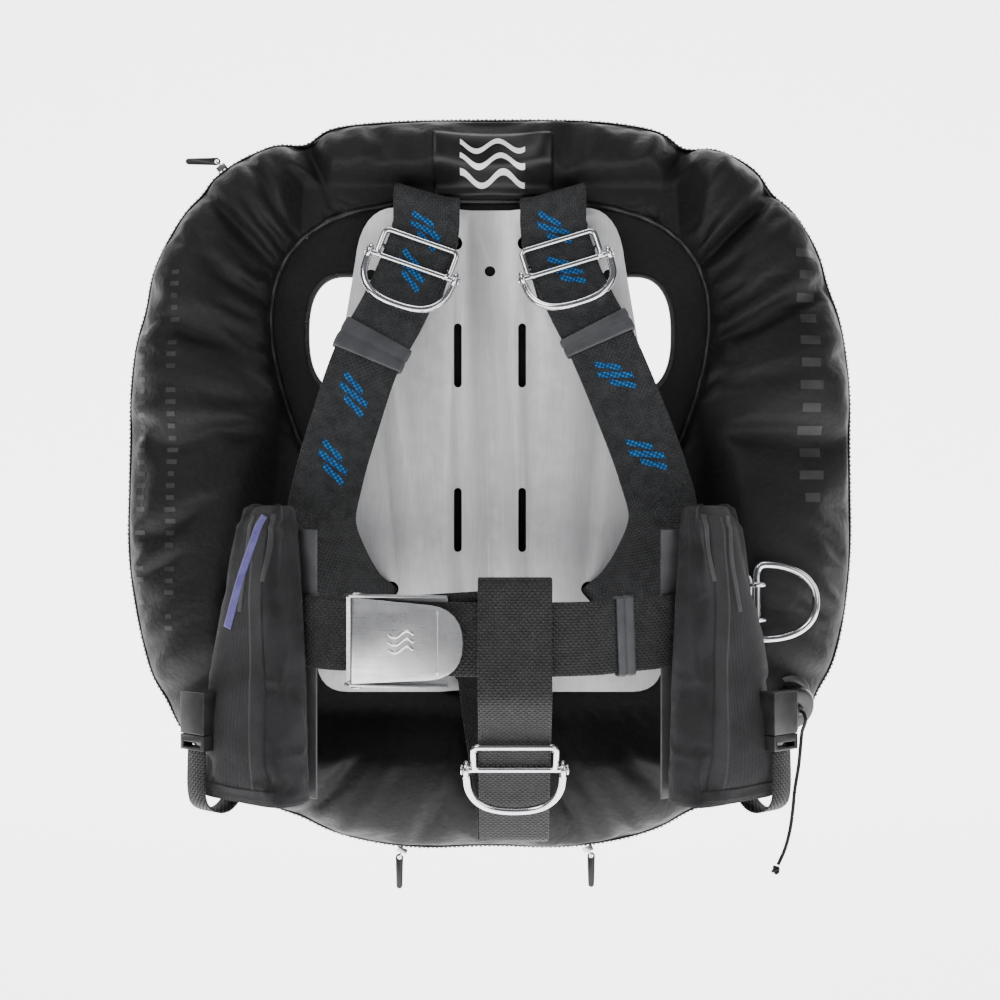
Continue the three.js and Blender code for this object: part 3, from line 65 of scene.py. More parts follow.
# ---------------------------------------------------------------- sizes, mm
WEB_WIDTH, WEB_THICK = 50.8, 2.5
MARK_PITCH, MARK_HALF = 8.5, 12
PLATE_REAR_Y, PLATE_FRONT_Y = -17.9, -20.9
WEB_REAR_Y, WEB_FRONT_Y = -16.35, -22.45
BELT_Z, BELT_REAR_Z, BELT_FRONT_Y, BELT_BEND_X = -134.0, -125.0, -161.6, 14.0
BUCKLE_YAW, BUCKLE_LAYER = math.atan2(29.6, 106), 4.7
BELT_SIDE = ((184.0, -76.5), (120.0, -132.0))
CROTCH_X, CROTCH_SLOT_Z = 18.0, -174.0
WING_MID_Y, WING_MID_Z = -1.2, -27.0
WING_HALF_WIDTH, WING_HALF_HEIGHT = 283.0, 285.0
SEAM_HALF_WIDTH, SEAM_HALF_HEIGHT, SEAM_MID_Z, SEAM_EGG = 147.0, 194.0, 1.0, 0.55
WING_FULLNESS, WING_MAX_HALF_THICK = 0.42, 50.0
PRINT_START = 90.0  # distance in front of the origin from which prints are laid on
PLATE_SHOULDER_HALF, PLATE_BOTTOM_HALF, PLATE_HALF_HEIGHT = 104.0, 134.0, 187.0
ROD_R, ROD_OFFSET, SLIDE_HALF_WIDTH, SLIDE_HALF_HEIGHT = 2.2, 4.15, 28.8, 11.0
RING_WIRE_R, EYE_WIRE_R, EYE_R, RING_HALF_WIDTH, RING_DEPTH = 2.7, 1.9, 4.6, 34.0, 36.0
POCKET_SECTIONS = (
    (-42, 24, 12), (-60, 29, 17), (-108, 36, 24), (-165, 42, 33), (-215, 45, 38), (-250, 46, 40),
)
# Folds of the wing: angle and spread in degrees, depth in mm.
CREASES = (
    (111, 2.2, 24), (67, 2.3, 24), (134, 2.4, 10), (46, 2.6, 13), (160, 2.6, 9), (24, 2.8, 9), (2, 2.6, 6),
    (-28, 2.4, 7), (-62, 2.4, 8), (-90, 2.6, 7), (-116, 2.4, 7), (-150, 2.4, 8), (178, 2.6, 7),
)
# Angles of the zip's sliders, where the seam isn't drawn in, and how far round that reaches, degrees.
SLIDER_ANGLES, SLIDER_REACH = (128.6, -104.4, -74.0), 6.0
WINDOW_X, WINDOW_Z, WINDOW_HALF_WIDTH, WINDOW_HALF_HEIGHT = 112.0, 91.0, 30.0, 45.0


# ---------------------------------------------------------------- small maths
def power(value: Array, exponent: Array) -> Array:
    """Signed power: the sign of value times its size to the exponent."""
    return np.sign(value) * np.abs(value) ** exponent


def turn(count: int) -> Array:
    """Evenly spaced angles round a full turn, radians."""
    return np.linspace(0, 2 * math.pi, count, endpoint=False)


def spans(points: Array) -> Array:
    """Distances between one point and the next."""
    return np.linalg.norm(np.diff(points, axis=0), axis=1)


def travelled(points: Array) -> Array:
    """Distance along a line of points, from 0 at the first."""
    return np.concatenate([[0], np.cumsum(spans(points))])


def off_angle(angle: Array, degrees: float) -> Array:
    """Signed difference in radians between angles and one in degrees, the short way round."""
    return np.angle(np.exp(1j * (angle - math.radians(degrees))))


def unit(v: Array) -> Array:
    """Vectors of length one along the last axis."""
    return v / np.maximum(np.linalg.norm(v, axis=-1, keepdims=True), 1e-12)


def waves(x: Array, seed: int, count: int, low: float, high: float) -> Array:
    """Sum of count sines of x with seeded phases, periodic over a full turn, about -1 to 1.

    Args:
        x: angle in radians.
        seed: seed of the phases and the strengths.
        count: number of sines.
        low: lowest whole frequency.
        high: highest whole frequency.

    Returns:
        The sum, an array shaped like x.
    """
    rng = np.random.default_rng(seed)
    total = np.zeros_like(x, dtype=float)
    for _ in range(count):
        total += rng.uniform(0.5, 1) * np.sin(int(rng.integers(low, high + 1)) * x + rng.uniform(0, 6.28))
    return total / math.sqrt(count)


class CatmullRom:
    """Centripetal Catmull-Rom curve through points, one unit of u to each span."""

    def __init__(self, points: Sequence[Sequence[float]]):
        p = np.array(points, float)
        self.points = np.vstack([2 * p[0] - p[1], p, 2 * p[-1] - p[-2]])
        self.last = len(p) - 1

    def at(self, u: Array) -> tuple[Array, Array]:
        """Points and unit tangents at u, from 0 to last."""
        u = np.clip(np.asarray(u, float), 0, self.last)
        i = np.minimum(u.astype(int), self.last - 1)
        w = (u - i)[:, None]
        p0, p1, p2, p3 = (self.points[i + k] for k in range(4))
        d0, d1, d2 = (
            np.maximum(np.linalg.norm(b - a, axis=1), 1e-6)[:, None] ** 0.5 for a, b in (
                (p0, p1), (p1, p2), (p2, p3),
            )
        )
        t1 = ((p1 - p0) / d0 - (p2 - p0) / (d0 + d1) + (p2 - p1) / d1) * d1
        t2 = ((p2 - p1) / d1 - (p3 - p1) / (d1 + d2) + (p3 - p2) / d2) * d1
        c2, c3 = -3 * p1 + 3 * p2 - 2 * t1 - t2, 2 * p1 - 2 * p2 + t1 + t2
        return p1 + t1 * w + c2 * w**2 + c3 * w**3, unit(t1 + 2 * c2 * w + 3 * c3 * w**2)


@dataclass(frozen=True)
class Frame:
    """A local frame of the CAD part: origin in mm and three unit axes in the row frame."""

    origin: tuple[float, float, float]
    x: tuple[float, float, float]
    y: tuple[float, float, float]
    z: tuple[float, float, float]

    def place(self, points: Array) -> Array:
        """Local points, mm, as points in the row frame, mm."""
        return np.array(self.origin) + np.asarray(points, float) @ np.array([self.x, self.y, self.z])


FRAMES = {
    "shoulder_slide_left": Frame(
        (54.6, -39.3, 146.6), (0.95734, -0.00096, 0.28897), (-0.27873, 0.26069, 0.92431),
        (-0.07622, -0.96542, 0.2493),
    ),
    "shoulder_slide_right": Frame(
        (-55.4, -39.3, 146.8), (0.9432, -0.00658, -0.33217), (0.32237, 0.2599, 0.91023),
        (0.08034, -0.96561, 0.24726),
    ),
    "shoulder_ring_left": Frame(
        (57.35, -46.174, 137.467), (0.95734, -0.00096, 0.28897), (-0.24693, 0.51669, 0.81979),
        (-0.15009, -0.85617, 0.49441),
    ),
    "shoulder_ring_right": Frame(
        (-58.613, -46.166, 137.814), (0.9432, -0.00658, -0.33217), (0.30353, 0.42363, 0.85347),
        (0.1351, -0.90581, 0.40156),
    ),
    "crotch_slide": Frame(
        (18, -137.125, -216.76), (1, 0, 0), (0, -0.59743, 0.80192), (0, -0.80192, -0.59743),
    ),
    "crotch_ring": Frame(
        (18, -133.881, -228.061), (1, 0, 0), (0, -0.4491, 0.89348), (0, -0.89348, -0.4491),
    ),
    "hip_slide": Frame((189.8, -64, -124), (1, 0, 0), (0, 0, 1), (0, -1, 0)),
    "hip_ring": Frame((199.25, -64, -115), (1, 0, 0), (0, 0, 1), (0, -1, 0)),
    "buckle_lever": Frame(
        (-91.531, -150.696, -136), (0.96315, -0.26896, 0), (0, 0, 1), (-0.26896, -0.96315, 0),
    ),
    "pocket_left": Frame((153.278, -105.723, 0), (0.75549, 0.65516, 0), (0, 0, 1), (0.65516, -0.75549, 0)),
    "pocket_right": Frame(
        (-153.278, -105.723, 0), (0.75549, -0.65516, 0), (0, 0, 1), (-0.65516, -0.75549, 0),
    ),
    "dump_valve": Frame(
        (225.498, -36.108, -192.59), (0.89196, 0.45212, 0), (0.12212, -0.24093, 0.96283),
        (0.43531, -0.8588, -0.27011),
    ),
    "inflator_port": Frame(
        (129.982, 28.211, 213.819), (-0.99817, -0.0604, 0), (-0.00084, 0.01383, 0.9999),
        (-0.06039, 0.99808, -0.01386),
    ),
}


# ---------------------------------------------------------------- mesh building
def grid_mesh(
    name: str, points: Array, uv: Array, wrap: tuple[bool, bool] = (False, False), caps: bool = False,
) -> Object:
    """A quad mesh over a grid of points.

    Args:
        name: object name.
        points: rows x columns x 3, in mm.
        uv: (rows + wrap[0]) x (columns + wrap[1]) x 2, in metres.
        wrap: whether rows and columns close on themselves.
        caps: whether the first and last rows get a fan to their middle.

    Returns:
        The object, linked to the scene, smooth shaded.
    """
    n, m = points.shape[:2]
    rows, cols = np.meshgrid(
        np.arange(n if wrap[0] else n - 1), np.arange(m if wrap[1] else m - 1), indexing="ij",
    )
    rows, cols = rows.ravel(), cols.ravel()
    steps = ((0, 0), (1, 0), (1, 1), (0, 1))
    quads = np.stack([((rows + i) % n) * m + (cols + j) % m for i, j in steps], 1)
    corners = np.stack([uv[rows + i, cols + j] for i, j in steps], 1)
    verts = points.reshape(-1, 3)
    faces = quads.tolist()
    loops = [corners.reshape(-1, 2)]
    if caps:
        for row, flip in ((0, False), (n - 1, True)):
            verts = np.vstack([verts, points[row].mean(0)])
            for j in range(m if wrap[1] else m - 1):
                pair = (row * m + j, row * m + (j + 1) % m)
                faces.append([len(verts) - 1, *(reversed(pair) if flip else pair)])
                loops.append(np.array([uv[row, j]] * 3))
    mesh = bpy.data.meshes.new(name)
    mesh.from_pydata((verts * MM).tolist(), [], faces)
    layer = mesh.uv_layers.new(name="UVMap")
    layer.data.foreach_set("uv", np.vstack(loops).astype(np.float32).ravel())
    mesh.polygons.foreach_set("use_smooth", [True] * len(mesh.polygons))
    mesh.update()
    obj = linked(name, mesh)
    outward(obj)
    return obj


def linked(name: str, data: bpy.types.ID) -> Object:
    """A new object with its data, in the scene."""
    obj = bpy.data.objects.new(name, data)
    bpy.context.scene.collection.objects.link(obj)
    return obj


def evaluated(obj: Object) -> bpy.types.Mesh:
    """A new mesh of an object with its modifiers applied."""
    graph = bpy.context.evaluated_depsgraph_get()
    return bpy.data.meshes.new_from_object(obj.evaluated_get(graph), depsgraph=graph)


def outward(obj: Object) -> None:
    """Turns a closed mesh's faces outwards."""
    bm = bmesh.new()
    bm.from_mesh(obj.data)
    bmesh.ops.recalc_face_normals(bm, faces=bm.faces)
    bm.to_mesh(obj.data)
    bm.free()


def sweep(
    name: str, path: Array, section: Array, x_axis: Array, z_axis: Array, closed: bool = False,
) -> Object:
    """A section carried along a path.

    Args:
        name: object name.
        path: points, mm.
        section: closed outline as (across, out) pairs, mm, or one outline for each point.
        x_axis: across direction at each point.
        z_axis: out direction at each point.
        closed: whether the path is a loop.

    Returns:
        The swept object, with UV (round the section, along the path) in metres.
    """
    outline = np.broadcast_to(section, (len(path), *np.shape(section)[-2:]))
    points = path[:, None] + outline[..., :1] * x_axis[:, None] + outline[..., 1:] * z_axis[:, None]
    ends = np.vstack([path, path[:1]]) if closed else path
    along = travelled(ends)
    ring = np.vstack([outline[0], outline[0][:1]])
    around = travelled(ring)
    uv = np.stack(np.meshgrid(around, along), -1) * MM
    return grid_mesh(name, points, uv, (closed, True), caps=not closed)


def tube(name: str, path: Array, radius: float, sides: int = 16, closed: bool = False) -> Object:
    """A round wire along a path, its frame carried along without twist."""
    path = np.asarray(path, float)
    tangent = unit(
        np.roll(path, -1, 0) - np.roll(path, 1, 0)
    ) if closed else unit(np.gradient(path, axis=0))
    side = np.zeros_like(path)
    seed = np.eye(3)[np.argmin(np.abs(tangent[0]))]
    side[0] = unit(np.cross(tangent[0], seed))
    for i in range(1, len(path)):
        side[i] = unit(side[i - 1] - tangent[i] * (side[i - 1] @ tangent[i]))
    angle = turn(sides)
    section = np.stack([np.cos(angle), np.sin(angle)], 1) * radius
    return sweep(name, path, section, side, np.cross(tangent, side), closed)


def resampled(points: Sequence[Sequence[float]], count: int, closed: bool = False) -> Array:
    """Points on a smooth curve through the given ones."""
    p = [tuple(q) for q in points]
    if closed:
        p = p[-2:] + p + p[:3]
    curve = CatmullRom(p)
    low, high = (2, len(p) - 3) if closed else (0, curve.last)
    return curve.at(np.linspace(low, high, count, endpoint=not closed))[0]


def lathe(
    name: str, profile: Sequence[Sequence[float]], place: Frame, sides: int = 64,
    grip: tuple[float, float, float, int] = (0, 0, 0, 0),
) -> Object:
    """A closed profile of (radius, height) turned about the frame's z axis.

    Grip is (lowest height, highest height, depth, count) of flutes cut in the outer wall.
    """
    p = np.array(profile, float)
    dense = []
    for a, b in zip(p, np.roll(p, -1, 0)):
        length = np.linalg.norm(b - a)
        cut = min(0.35, length / 3)
        steps = [cut / max(length, 1e-9), 0.5, 1 - cut / max(length, 1e-9)]
        dense += [a + (b - a) * s for s in steps]
    p = np.array(dense)
    angle = turn(sides)
    radius = np.repeat(p[:, :1], sides, 1)
    low, high, depth, count = grip
    if count:
        inside = ((p[:, 1] > low) & (p[:, 1] < high) & (p[:, 0] > p[:, 0].max() - 3))[:, None]
        radius = radius - inside * depth * (0.5 + 0.5 * np.cos(angle * count))
    local = np.stack([radius * np.cos(angle), radius * np.sin(angle), np.repeat(p[:, 1:], sides, 1)], -1)
    n = len(p)
    uv = np.stack(np.meshgrid(np.linspace(0, 0.1, sides + 1), np.linspace(0, 0.05, n + 1)), -1)
    return grid_mesh(name, place.place(local), uv, (True, True))


def refined(node: str, width: float, angle: float = 32) -> Object:
    """A copy of a CAD node with merged faces and rounded edges, which takes its place.

    Args:
        node: CAD node name.
        width: bevel width, mm.
        angle: edges sharper than this, in degrees, are rounded.
    """
    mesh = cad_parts[node].data.copy()
    bm = bmesh.new()
    bm.from_mesh(mesh)
    bmesh.ops.remove_doubles(bm, verts=bm.verts, dist=2e-6)
    bmesh.ops.dissolve_limit(bm, angle_limit=math.radians(0.6), verts=bm.verts, edges=bm.edges)
    bmesh.ops.recalc_face_normals(bm, faces=bm.faces)
    bm.to_mesh(mesh)
    bm.free()
    mesh.materials.clear()
    mesh.polygons.foreach_set("use_smooth", [True] * len(mesh.polygons))
    obj = linked(f"{node}_shape", mesh)
    bevel = obj.modifiers.new("edges", "BEVEL")
    bevel.width = width * MM
    bevel.segments = 3
    bevel.limit_method = "ANGLE"
    bevel.angle_limit = math.radians(angle)
    bevel.harden_normals = True
    return obj


def surface_tree(obj: Object) -> BVHTree:
    """A search tree over an object's mesh, for laying flat pieces on it."""
    return BVHTree.FromPolygons(
        [v.co for v in obj.data.vertices], [tuple(p.vertices) for p in obj.data.polygons]
    )


def laid_on(tree: BVHTree, points: Array, direction: Array, lift: float) -> Array:
    """Points in mm pushed along a direction until they lie lift mm off a surface, or nan where they miss it."""
    d = Vector(unit(np.array(direction, float)))
    flat = points.reshape(-1, 3)
    out = flat.copy()
    for i, p in enumerate(flat):
        hit = tree.ray_cast(Vector(p * MM) - d * 0.12, d)
        out[i] = np.nan if hit[0] is None else (np.array(hit[0]) - np.array(d) * lift * MM) / MM
    return out.reshape(points.shape)


# ---------------------------------------------------------------- webbing paths
@dataclass
class StrapPath:
    """The line of a strap: stations of x, y, z and, where it isn't upright, tilt and roll in degrees."""

    stations: Sequence[Sequence[float]]
    side: int = 1
    curve: CatmullRom = field(init=False)

    def __post_init__(self) -> None:
        self.curve = CatmullRom([(self.side * s[0], s[1], s[2]) for s in self.stations])
        self.upright = len(self.stations[0]) < 4
        degrees = [(s[3] if len(s) > 3 else 0, s[4] if len(s) > 4 else 0) for s in self.stations]
        self.turns = np.radians(np.array(degrees, float)) * (self.side, -self.side)

    def at(self, u: Array) -> tuple[Array, Array, Array, Array]:
        """Middle points, and the across, along and out directions, at u."""
        u = np.clip(np.atleast_1d(np.asarray(u, float)), 0, self.curve.last)
        origin, along = self.curve.at(u)
        index = np.arange(self.curve.last + 1)
        tilt, roll = (np.interp(u, index, self.turns[:, k]) for k in (0, 1))
        across = np.stack([np.cos(tilt), np.tan(roll), np.sin(tilt)], 1)
        if self.upright:
            across = np.tile((0.0, 0.0, 1.0), (len(u), 1))
        across = unit(across - along * np.sum(across * along, 1, keepdims=True))
        return origin, across, along, np.cross(across, -along)

    def ribbon(self, name: str, per_station: int = 12) -> Object:
        """The strap as a swept ribbon with rounded selvedges."""
        u = np.linspace(0, self.curve.last, self.curve.last * per_station + 1)
        origin, across, _, out = self.at(u)
        half, edge = WEB_WIDTH / 2, WEB_THICK / 2 - 0.05
        top = [(x, edge) for x in np.linspace(half - 1.2, 1.2 - half, 13)]
        rim = [
            (1.2 * math.cos(a), edge * math.sin(a)) for a in np.linspace(math.pi * 0.65, math.pi * 1.35, 5)
        ]
        left = [(x + 1.2 - half, z) for x, z in rim]
        bottom = [(-x, -z) for x, z in top]
        right = [(-x, -z) for x, z in left]
        return sweep(name, origin, np.array(top + left + bottom + right), across, out)

    def length(self) -> float:
        """Length of the strap's middle line, mm."""
        return float(spans(self.at(np.linspace(0, self.curve.last, self.curve.last * 20))[0]).sum())

    def marks(self, name: str, places: Sequence[float], face: int = 1) -> Object:
        """Woven marks on the strap: three slanted bars at each place, 0.12 mm proud.

        Args:
            name: object name.
            places: u of each mark's middle.
            face: 1 for the side that out points to, -1 for the other.
        """
        meshes = []
        dense = np.linspace(0, self.curve.last, self.curve.last * 40)
        length = travelled(self.at(dense)[0])
        for place in places:
            middle = np.interp(place, dense, length)
            for shift in (-MARK_PITCH, 0.0, MARK_PITCH):
                s, t = np.meshgrid(np.linspace(-1, 1, 7), np.linspace(-1, 1, 7), indexing="ij")
                across_mm = (MARK_HALF - abs(shift) * 0.4) * s + shift * 0.3
                along_mm = 2.4 * t + shift + 5 * s
                u = np.interp(middle + along_mm.ravel(), length, dense)
                origin, across, _, out = self.at(u)
                points = origin + across * across_mm.reshape(-1, 1) + out * face * (WEB_THICK / 2 + 0.08)
                uv = np.stack([(across_mm + 25) * MM, along_mm * MM], -1)
                meshes.append(grid_mesh(f"{name}_part", points.reshape(7, 7, 3), uv))
        return joined(meshes, name)


def joined(parts: Sequence[Object], name: str) -> Object:
    """Several mesh objects made into one, without operators.

    Args:
        parts: the objects; they are removed.
        name: the new object's name.
    """
    bm = bmesh.new()
    for part in parts:
        bm.from_mesh(part.data)
    mesh = bpy.data.meshes.new(name)
    bm.to_mesh(mesh)
    bm.free()
    for part in parts:
        bpy.data.objects.remove(part)
    return linked(name, mesh)


SLOT_RUN = (
    (-50, -0.15, 0), (-30, -0.15, 0), (-15, -0.8, 1), (-7.5, -3.4, 6), (-2.8, 0.4, 9), (-0.6, 4.8, 10),
    (1.8, 9.8, 10), (6, 11.6, 10), (13, 11.6, 10), (20.5, 11.6, 10), (27.5, 10.4, 8), (31.2, 5.6, 3),
    (32.2, 0.6, 0), (30, -4, 0), (25, -6.6, 0), (16, -8.4, 0), (6, -10.1, 0), (-4, -12.1, 0),
)
FRONT_ROUTE = {
    "left": (
        (54.6, -39.3, 146.6, 17), (59.6, -43.9, 130, 17), (70, -51.5, 106, 21), (82, -58, 82, 25),
        (101, -70, 35, 24), (120, -79, -18, 16), (128, -76, -52, -6), (117, -50, -90, -36),
    ),
    "right": (
        (55.4, -39.3, 146.8, 18), (61.2, -43.9, 130.4, 19), (73, -51, 103, 23), (92, -60.5, 66, 24),
        (106, -70, 22, 18), (118, -78, -22, 8), (124, -74, -56, -10), (114, -49, -92, -38),
    ),
}
DUMP_CORD_ROUTE = (
    (235.5, -50, -214), (234.5, -49, -226), (233.5, -47, -240), (231, -45, -258),
    (229.5, -44, -275), (227.5, -43, -290), (224, -42, -304), (219, -41, -316),
)


def shoulder_path(name: str) -> StrapPath:
    """The shoulder strap's path, from behind the plate's top slot to its lower slot."""
    side = 1 if name == "left" else -1
    rise, lean = math.radians(16), math.radians(-48)
    top = [
        (48.5 - math.sin(rise) * min(along, 0), WEB_FRONT_Y + depth, 167 + math.cos(rise) * along, 16, roll)
        for along, depth, roll in SLOT_RUN
    ]
    middle = (WEB_REAR_Y + WEB_FRONT_Y) / 2
    ends = (
        (14, WEB_FRONT_Y - 7), (4.5, WEB_FRONT_Y - 0.6), (0, middle), (-4.6, WEB_REAR_Y),
        (-9, WEB_REAR_Y + 0.4),
    )
    bottom = [(91 - math.sin(lean) * d, y, -124 + math.cos(lean) * d, -48) for d, y in ends]
    return StrapPath([*top, *FRONT_ROUTE[name], *bottom], side)


def belt_front(x: float, offset: float) -> float:
    """Depth of the belt's front run at x, bent back past the middle."""
    return BELT_FRONT_Y - offset + max(abs(x) - BELT_BEND_X, 0) * math.tan(BUCKLE_YAW)


def belt_path(name: str) -> StrapPath:
    """The belt's path, from the plate's slot round the hip to the middle."""
    def side_point(share: float, z: float) -> tuple[float, float, float]:
        (ax, ay), (bx, by) = BELT_SIDE
        return ax + (bx - ax) * share, ay + (by - ay) * share, z

    start = [
        (112, WEB_REAR_Y, -126), (124, WEB_REAR_Y, -126), (134, WEB_REAR_Y + 0.2, -126),
        (139.5, -18.2, -126), (145, -24.4, -126), (164, -41, BELT_REAR_Z), (181, -54.5, -124.4),
        (187, -59, -124), (190, -64, -124), (189, -70.5, -124.5),
        side_point(0, BELT_REAR_Z), side_point(0.2, -126.5), side_point(0.8, -131), side_point(1, -132),
    ]
    if name == "right":
        ends = (
            (105, -133), (80, -132), (55, -130.5), (30, -128.5), (10, -127), (-10, -126), (-26, -125.5),
            (-42, -125),
        )
        return StrapPath(start + [(x, belt_front(x, 0) if x > 0 else BELT_FRONT_Y, z) for x, z in ends], -1)
    front = BELT_FRONT_Y - BUCKLE_LAYER
    lift = BUCKLE_LAYER / math.cos(BUCKLE_YAW)
    end = [(100, -142.5, -133), (78, -154.5, BELT_Z), (60, -162.8, BELT_Z), (46, -165.9, BELT_Z)]
    end += [(x, front, BELT_Z) for x in (30, 10, -10)]
    return StrapPath(start + end + [(x, belt_front(x, lift), BELT_Z) for x in (-30, -55, -84)], 1)


def crotch_path() -> StrapPath:
    """The crotch strap's path: a loop round the belt, then down, round its ring and back to the plate."""
    front = BELT_FRONT_Y - BUCKLE_LAYER - 3.1
    rear = BELT_FRONT_Y + 3.1
    middle, r, top, x = (front + rear) / 2, (rear - front) / 2, -99, CROTCH_X
    stations = [
        (x, rear + 14.3, -198.4), (x, rear + 7, -189), (x, rear + 1.8, -181), (x, rear, -170),
        (x, rear, -140), (x, rear, top - 6), (x, rear - 0.4, top), (x, middle + r * 0.68, top + r * 0.8),
        (x, middle, top + r * 1.12), (x, middle - r * 0.68, top + r * 0.8), (x, front + 0.4, top),
        (x, front, top - 6), (x, front, -140), (x, front, -166), (x, front + 2.4, -177),
        (x, front + 22, -203), (x, front + 52.5, -244), (x, front + 79, -280), (x, front + 86.5, -287.5),
        (x - 1, front + 94, -288.5), (x - 1, front + 100, -282), (x - 3, front + 104, -262),
        (x - 8, front + 110, -232), (x - 13, front + 123, -203), (1, WEB_FRONT_Y - 5, -178),
        (0, WEB_FRONT_Y + 3, CROTCH_SLOT_Z - 0.6), (0, -12, CROTCH_SLOT_Z), (0, -5, CROTCH_SLOT_Z),
    ]
    return StrapPath([(*s, 0) for s in stations])


# ---------------------------------------------------------------- materials
class Nodes:
    """Short ways to add nodes and links to a node tree."""

    def __init__(self, tree: bpy.types.NodeTree):
        self.tree = tree

    def add(self, kind: str, inputs: Optional[dict] = None, **settings: object) -> bpy.types.Node:
        """Adds a node, sets its properties, and sets or links its inputs."""
        node = self.tree.nodes.new(kind)
        for key, value in settings.items():
            setattr(node, key, value)
        for key, value in (inputs or {}).items():
            self.put(node, key, value)
        return node

    def put(self, node: bpy.types.Node, key: object, value: object) -> None:
        """Links an input of a node to a socket, or sets it to a value."""
        if isinstance(value, Socket):
            self.tree.links.new(value, node.inputs[key])
        else:
            node.inputs[key].default_value = value

    def math(self, operation: str, a: object, b: object = 0.0, c: object = 0.0) -> Socket:
        """A math node's result."""
        return self.add("ShaderNodeMath", {0: a, 1: b, 2: c}, operation=operation).outputs[0]

    def scaled(self, vector: Socket, by: Sequence[float]) -> Socket:
        """A vector times a constant vector."""
        return self.add("ShaderNodeVectorMath", {0: vector, 1: by}, operation="MULTIPLY").outputs[0]

    def noise(self, vector: Socket, scale: object, detail: float = 4.0, rough: float = 0.55) -> Socket:
        """A noise texture's value."""
        inputs = {"Vector": vector, "Scale": scale, "Detail": detail, "Roughness": rough}
        return self.add("ShaderNodeTexNoise", inputs).outputs[0]

    def ramp(
        self, value: Socket, low: float, high: float, to_low: object = 0.0, to_high: object = 1.0,
    ) -> Socket:
        """A value mapped from one range to another and held inside it."""
        inputs = {"Value": value, "From Min": low, "From Max": high, "To Min": to_low, "To Max": to_high}
        return self.add("ShaderNodeMapRange", inputs).outputs[0]

    def feed(self, node: bpy.types.Node, vector: Socket, key: str, value: float) -> None:
        """Links a vector to a group node and sets one of its values."""
        self.tree.links.new(vector, node.inputs["Vector"])
        node.inputs[key].default_value = value

    def mix(self, share: object, a: object, b: object) -> Socket:
        """Two colours mixed."""
        node = self.add("ShaderNodeMix", data_type="RGBA")
        for index, value in ((0, share), (6, a), (7, b)):
            self.put(node, index, value)
        return node.outputs[2]


def group(
    name: str, inputs: dict[str, tuple[str, object]], outputs: Iterable[str], fill: Callable,
) -> bpy.types.NodeTree:
    """A shared node group without shaders.

    Args:
        name: group name.
        inputs: socket name to (socket type, default).
        outputs: names of value outputs.
        fill: called with the group's Nodes and input sockets; returns a value for each output.
    """
    tree = bpy.data.node_groups.new(name, "ShaderNodeTree")
    for key, (kind, default) in inputs.items():
        socket = tree.interface.new_socket(key, in_out="INPUT", socket_type=kind)
        if default is not None:
            socket.default_value = default
    for key in outputs:
        tree.interface.new_socket(key, in_out="OUTPUT", socket_type="NodeSocketFloat")
    nodes = Nodes(tree)
    source = nodes.add("NodeGroupInput")
    results = fill(nodes, {key: source.outputs[key] for key in inputs})
    nodes.add("NodeGroupOutput", dict(zip(outputs, results)))
    return tree


FLOAT, VECTOR = "NodeSocketFloat", "NodeSocketVector"


def fill_weave(n: Nodes, s: dict) -> tuple:
    """Plain weave: each cell of the grid shows a warp or a weft thread in turn, a half cylinder."""
    p = n.add("ShaderNodeVectorMath", {0: s["Vector"], "Scale": s["Threads"]}, operation="SCALE").outputs[0]
    xyz = n.add("ShaderNodeSeparateXYZ", {0: p}).outputs
    parity = n.math(
        "MODULO", n.math("ABSOLUTE", n.math("ADD", n.math("FLOOR", xyz[0]), n.math("FLOOR", xyz[1]))), 2.0,
    )
    warp = n.math("SINE", n.math("MULTIPLY", n.math("FRACT", xyz[0]), math.pi))
    weft = n.math("SINE", n.math("MULTIPLY", n.math("FRACT", xyz[1]), math.pi))
    height = n.math(
        "ADD", n.math("MULTIPLY", warp, parity), n.math("MULTIPLY", weft, n.math("SUBTRACT", 1.0, parity)),
    )
    return height, parity


def fill_grain(n: Nodes, s: dict) -> tuple:
    """Noise at a coarse and a fine scale, added, for uneven tone and small relief."""
    coarse = n.noise(s["Vector"], s["Scale"], 5.0)
    fine = n.noise(s["Vector"], n.math("MULTIPLY", s["Scale"], 14.0), 3.0)
    return coarse, n.math("ADD", n.math("MULTIPLY", coarse, 0.4), n.math("MULTIPLY", fine, 0.6))


def fill_wear(n: Nodes, s: dict) -> tuple:
    """Wear where the surface is convex, broken up by noise."""
    point = n.add("ShaderNodeNewGeometry").outputs["Pointiness"]
    edge = n.ramp(point, 0.5, 0.56)
    speck = n.ramp(n.noise(s["Vector"], s["Scale"], 6.0), 0.4, 0.62)
    return (n.math("MULTIPLY", n.math("MULTIPLY", edge, speck), s["Strength"]),)


def fill_dust(n: Nodes, s: dict) -> tuple:
    """Fine dust that gathers on faces that look up."""
    up = n.add("ShaderNodeSeparateXYZ", {0: n.add("ShaderNodeNewGeometry").outputs["Normal"]}).outputs[2]
    patch = n.ramp(n.noise(s["Vector"], 60.0, 6.0), 0.45, 0.7)
    return (n.math("MULTIPLY", n.math("MULTIPLY", n.ramp(up, 0.1, 1.0), patch), s["Amount"]),)


class Slot(Enum):
    """Material slot names."""

    WING = "wing_cloth"
    WEB = "webbing"
    POCKET = "pocket_cloth"
    CORD = "cord"
    LABEL = "label"
    PATCH = "patch"
    KEEPER = "keeper"
    PLATE = "plate"
    STEEL = "hardware"
    SPRING = "spring"
    PLASTIC = "black_plastic"


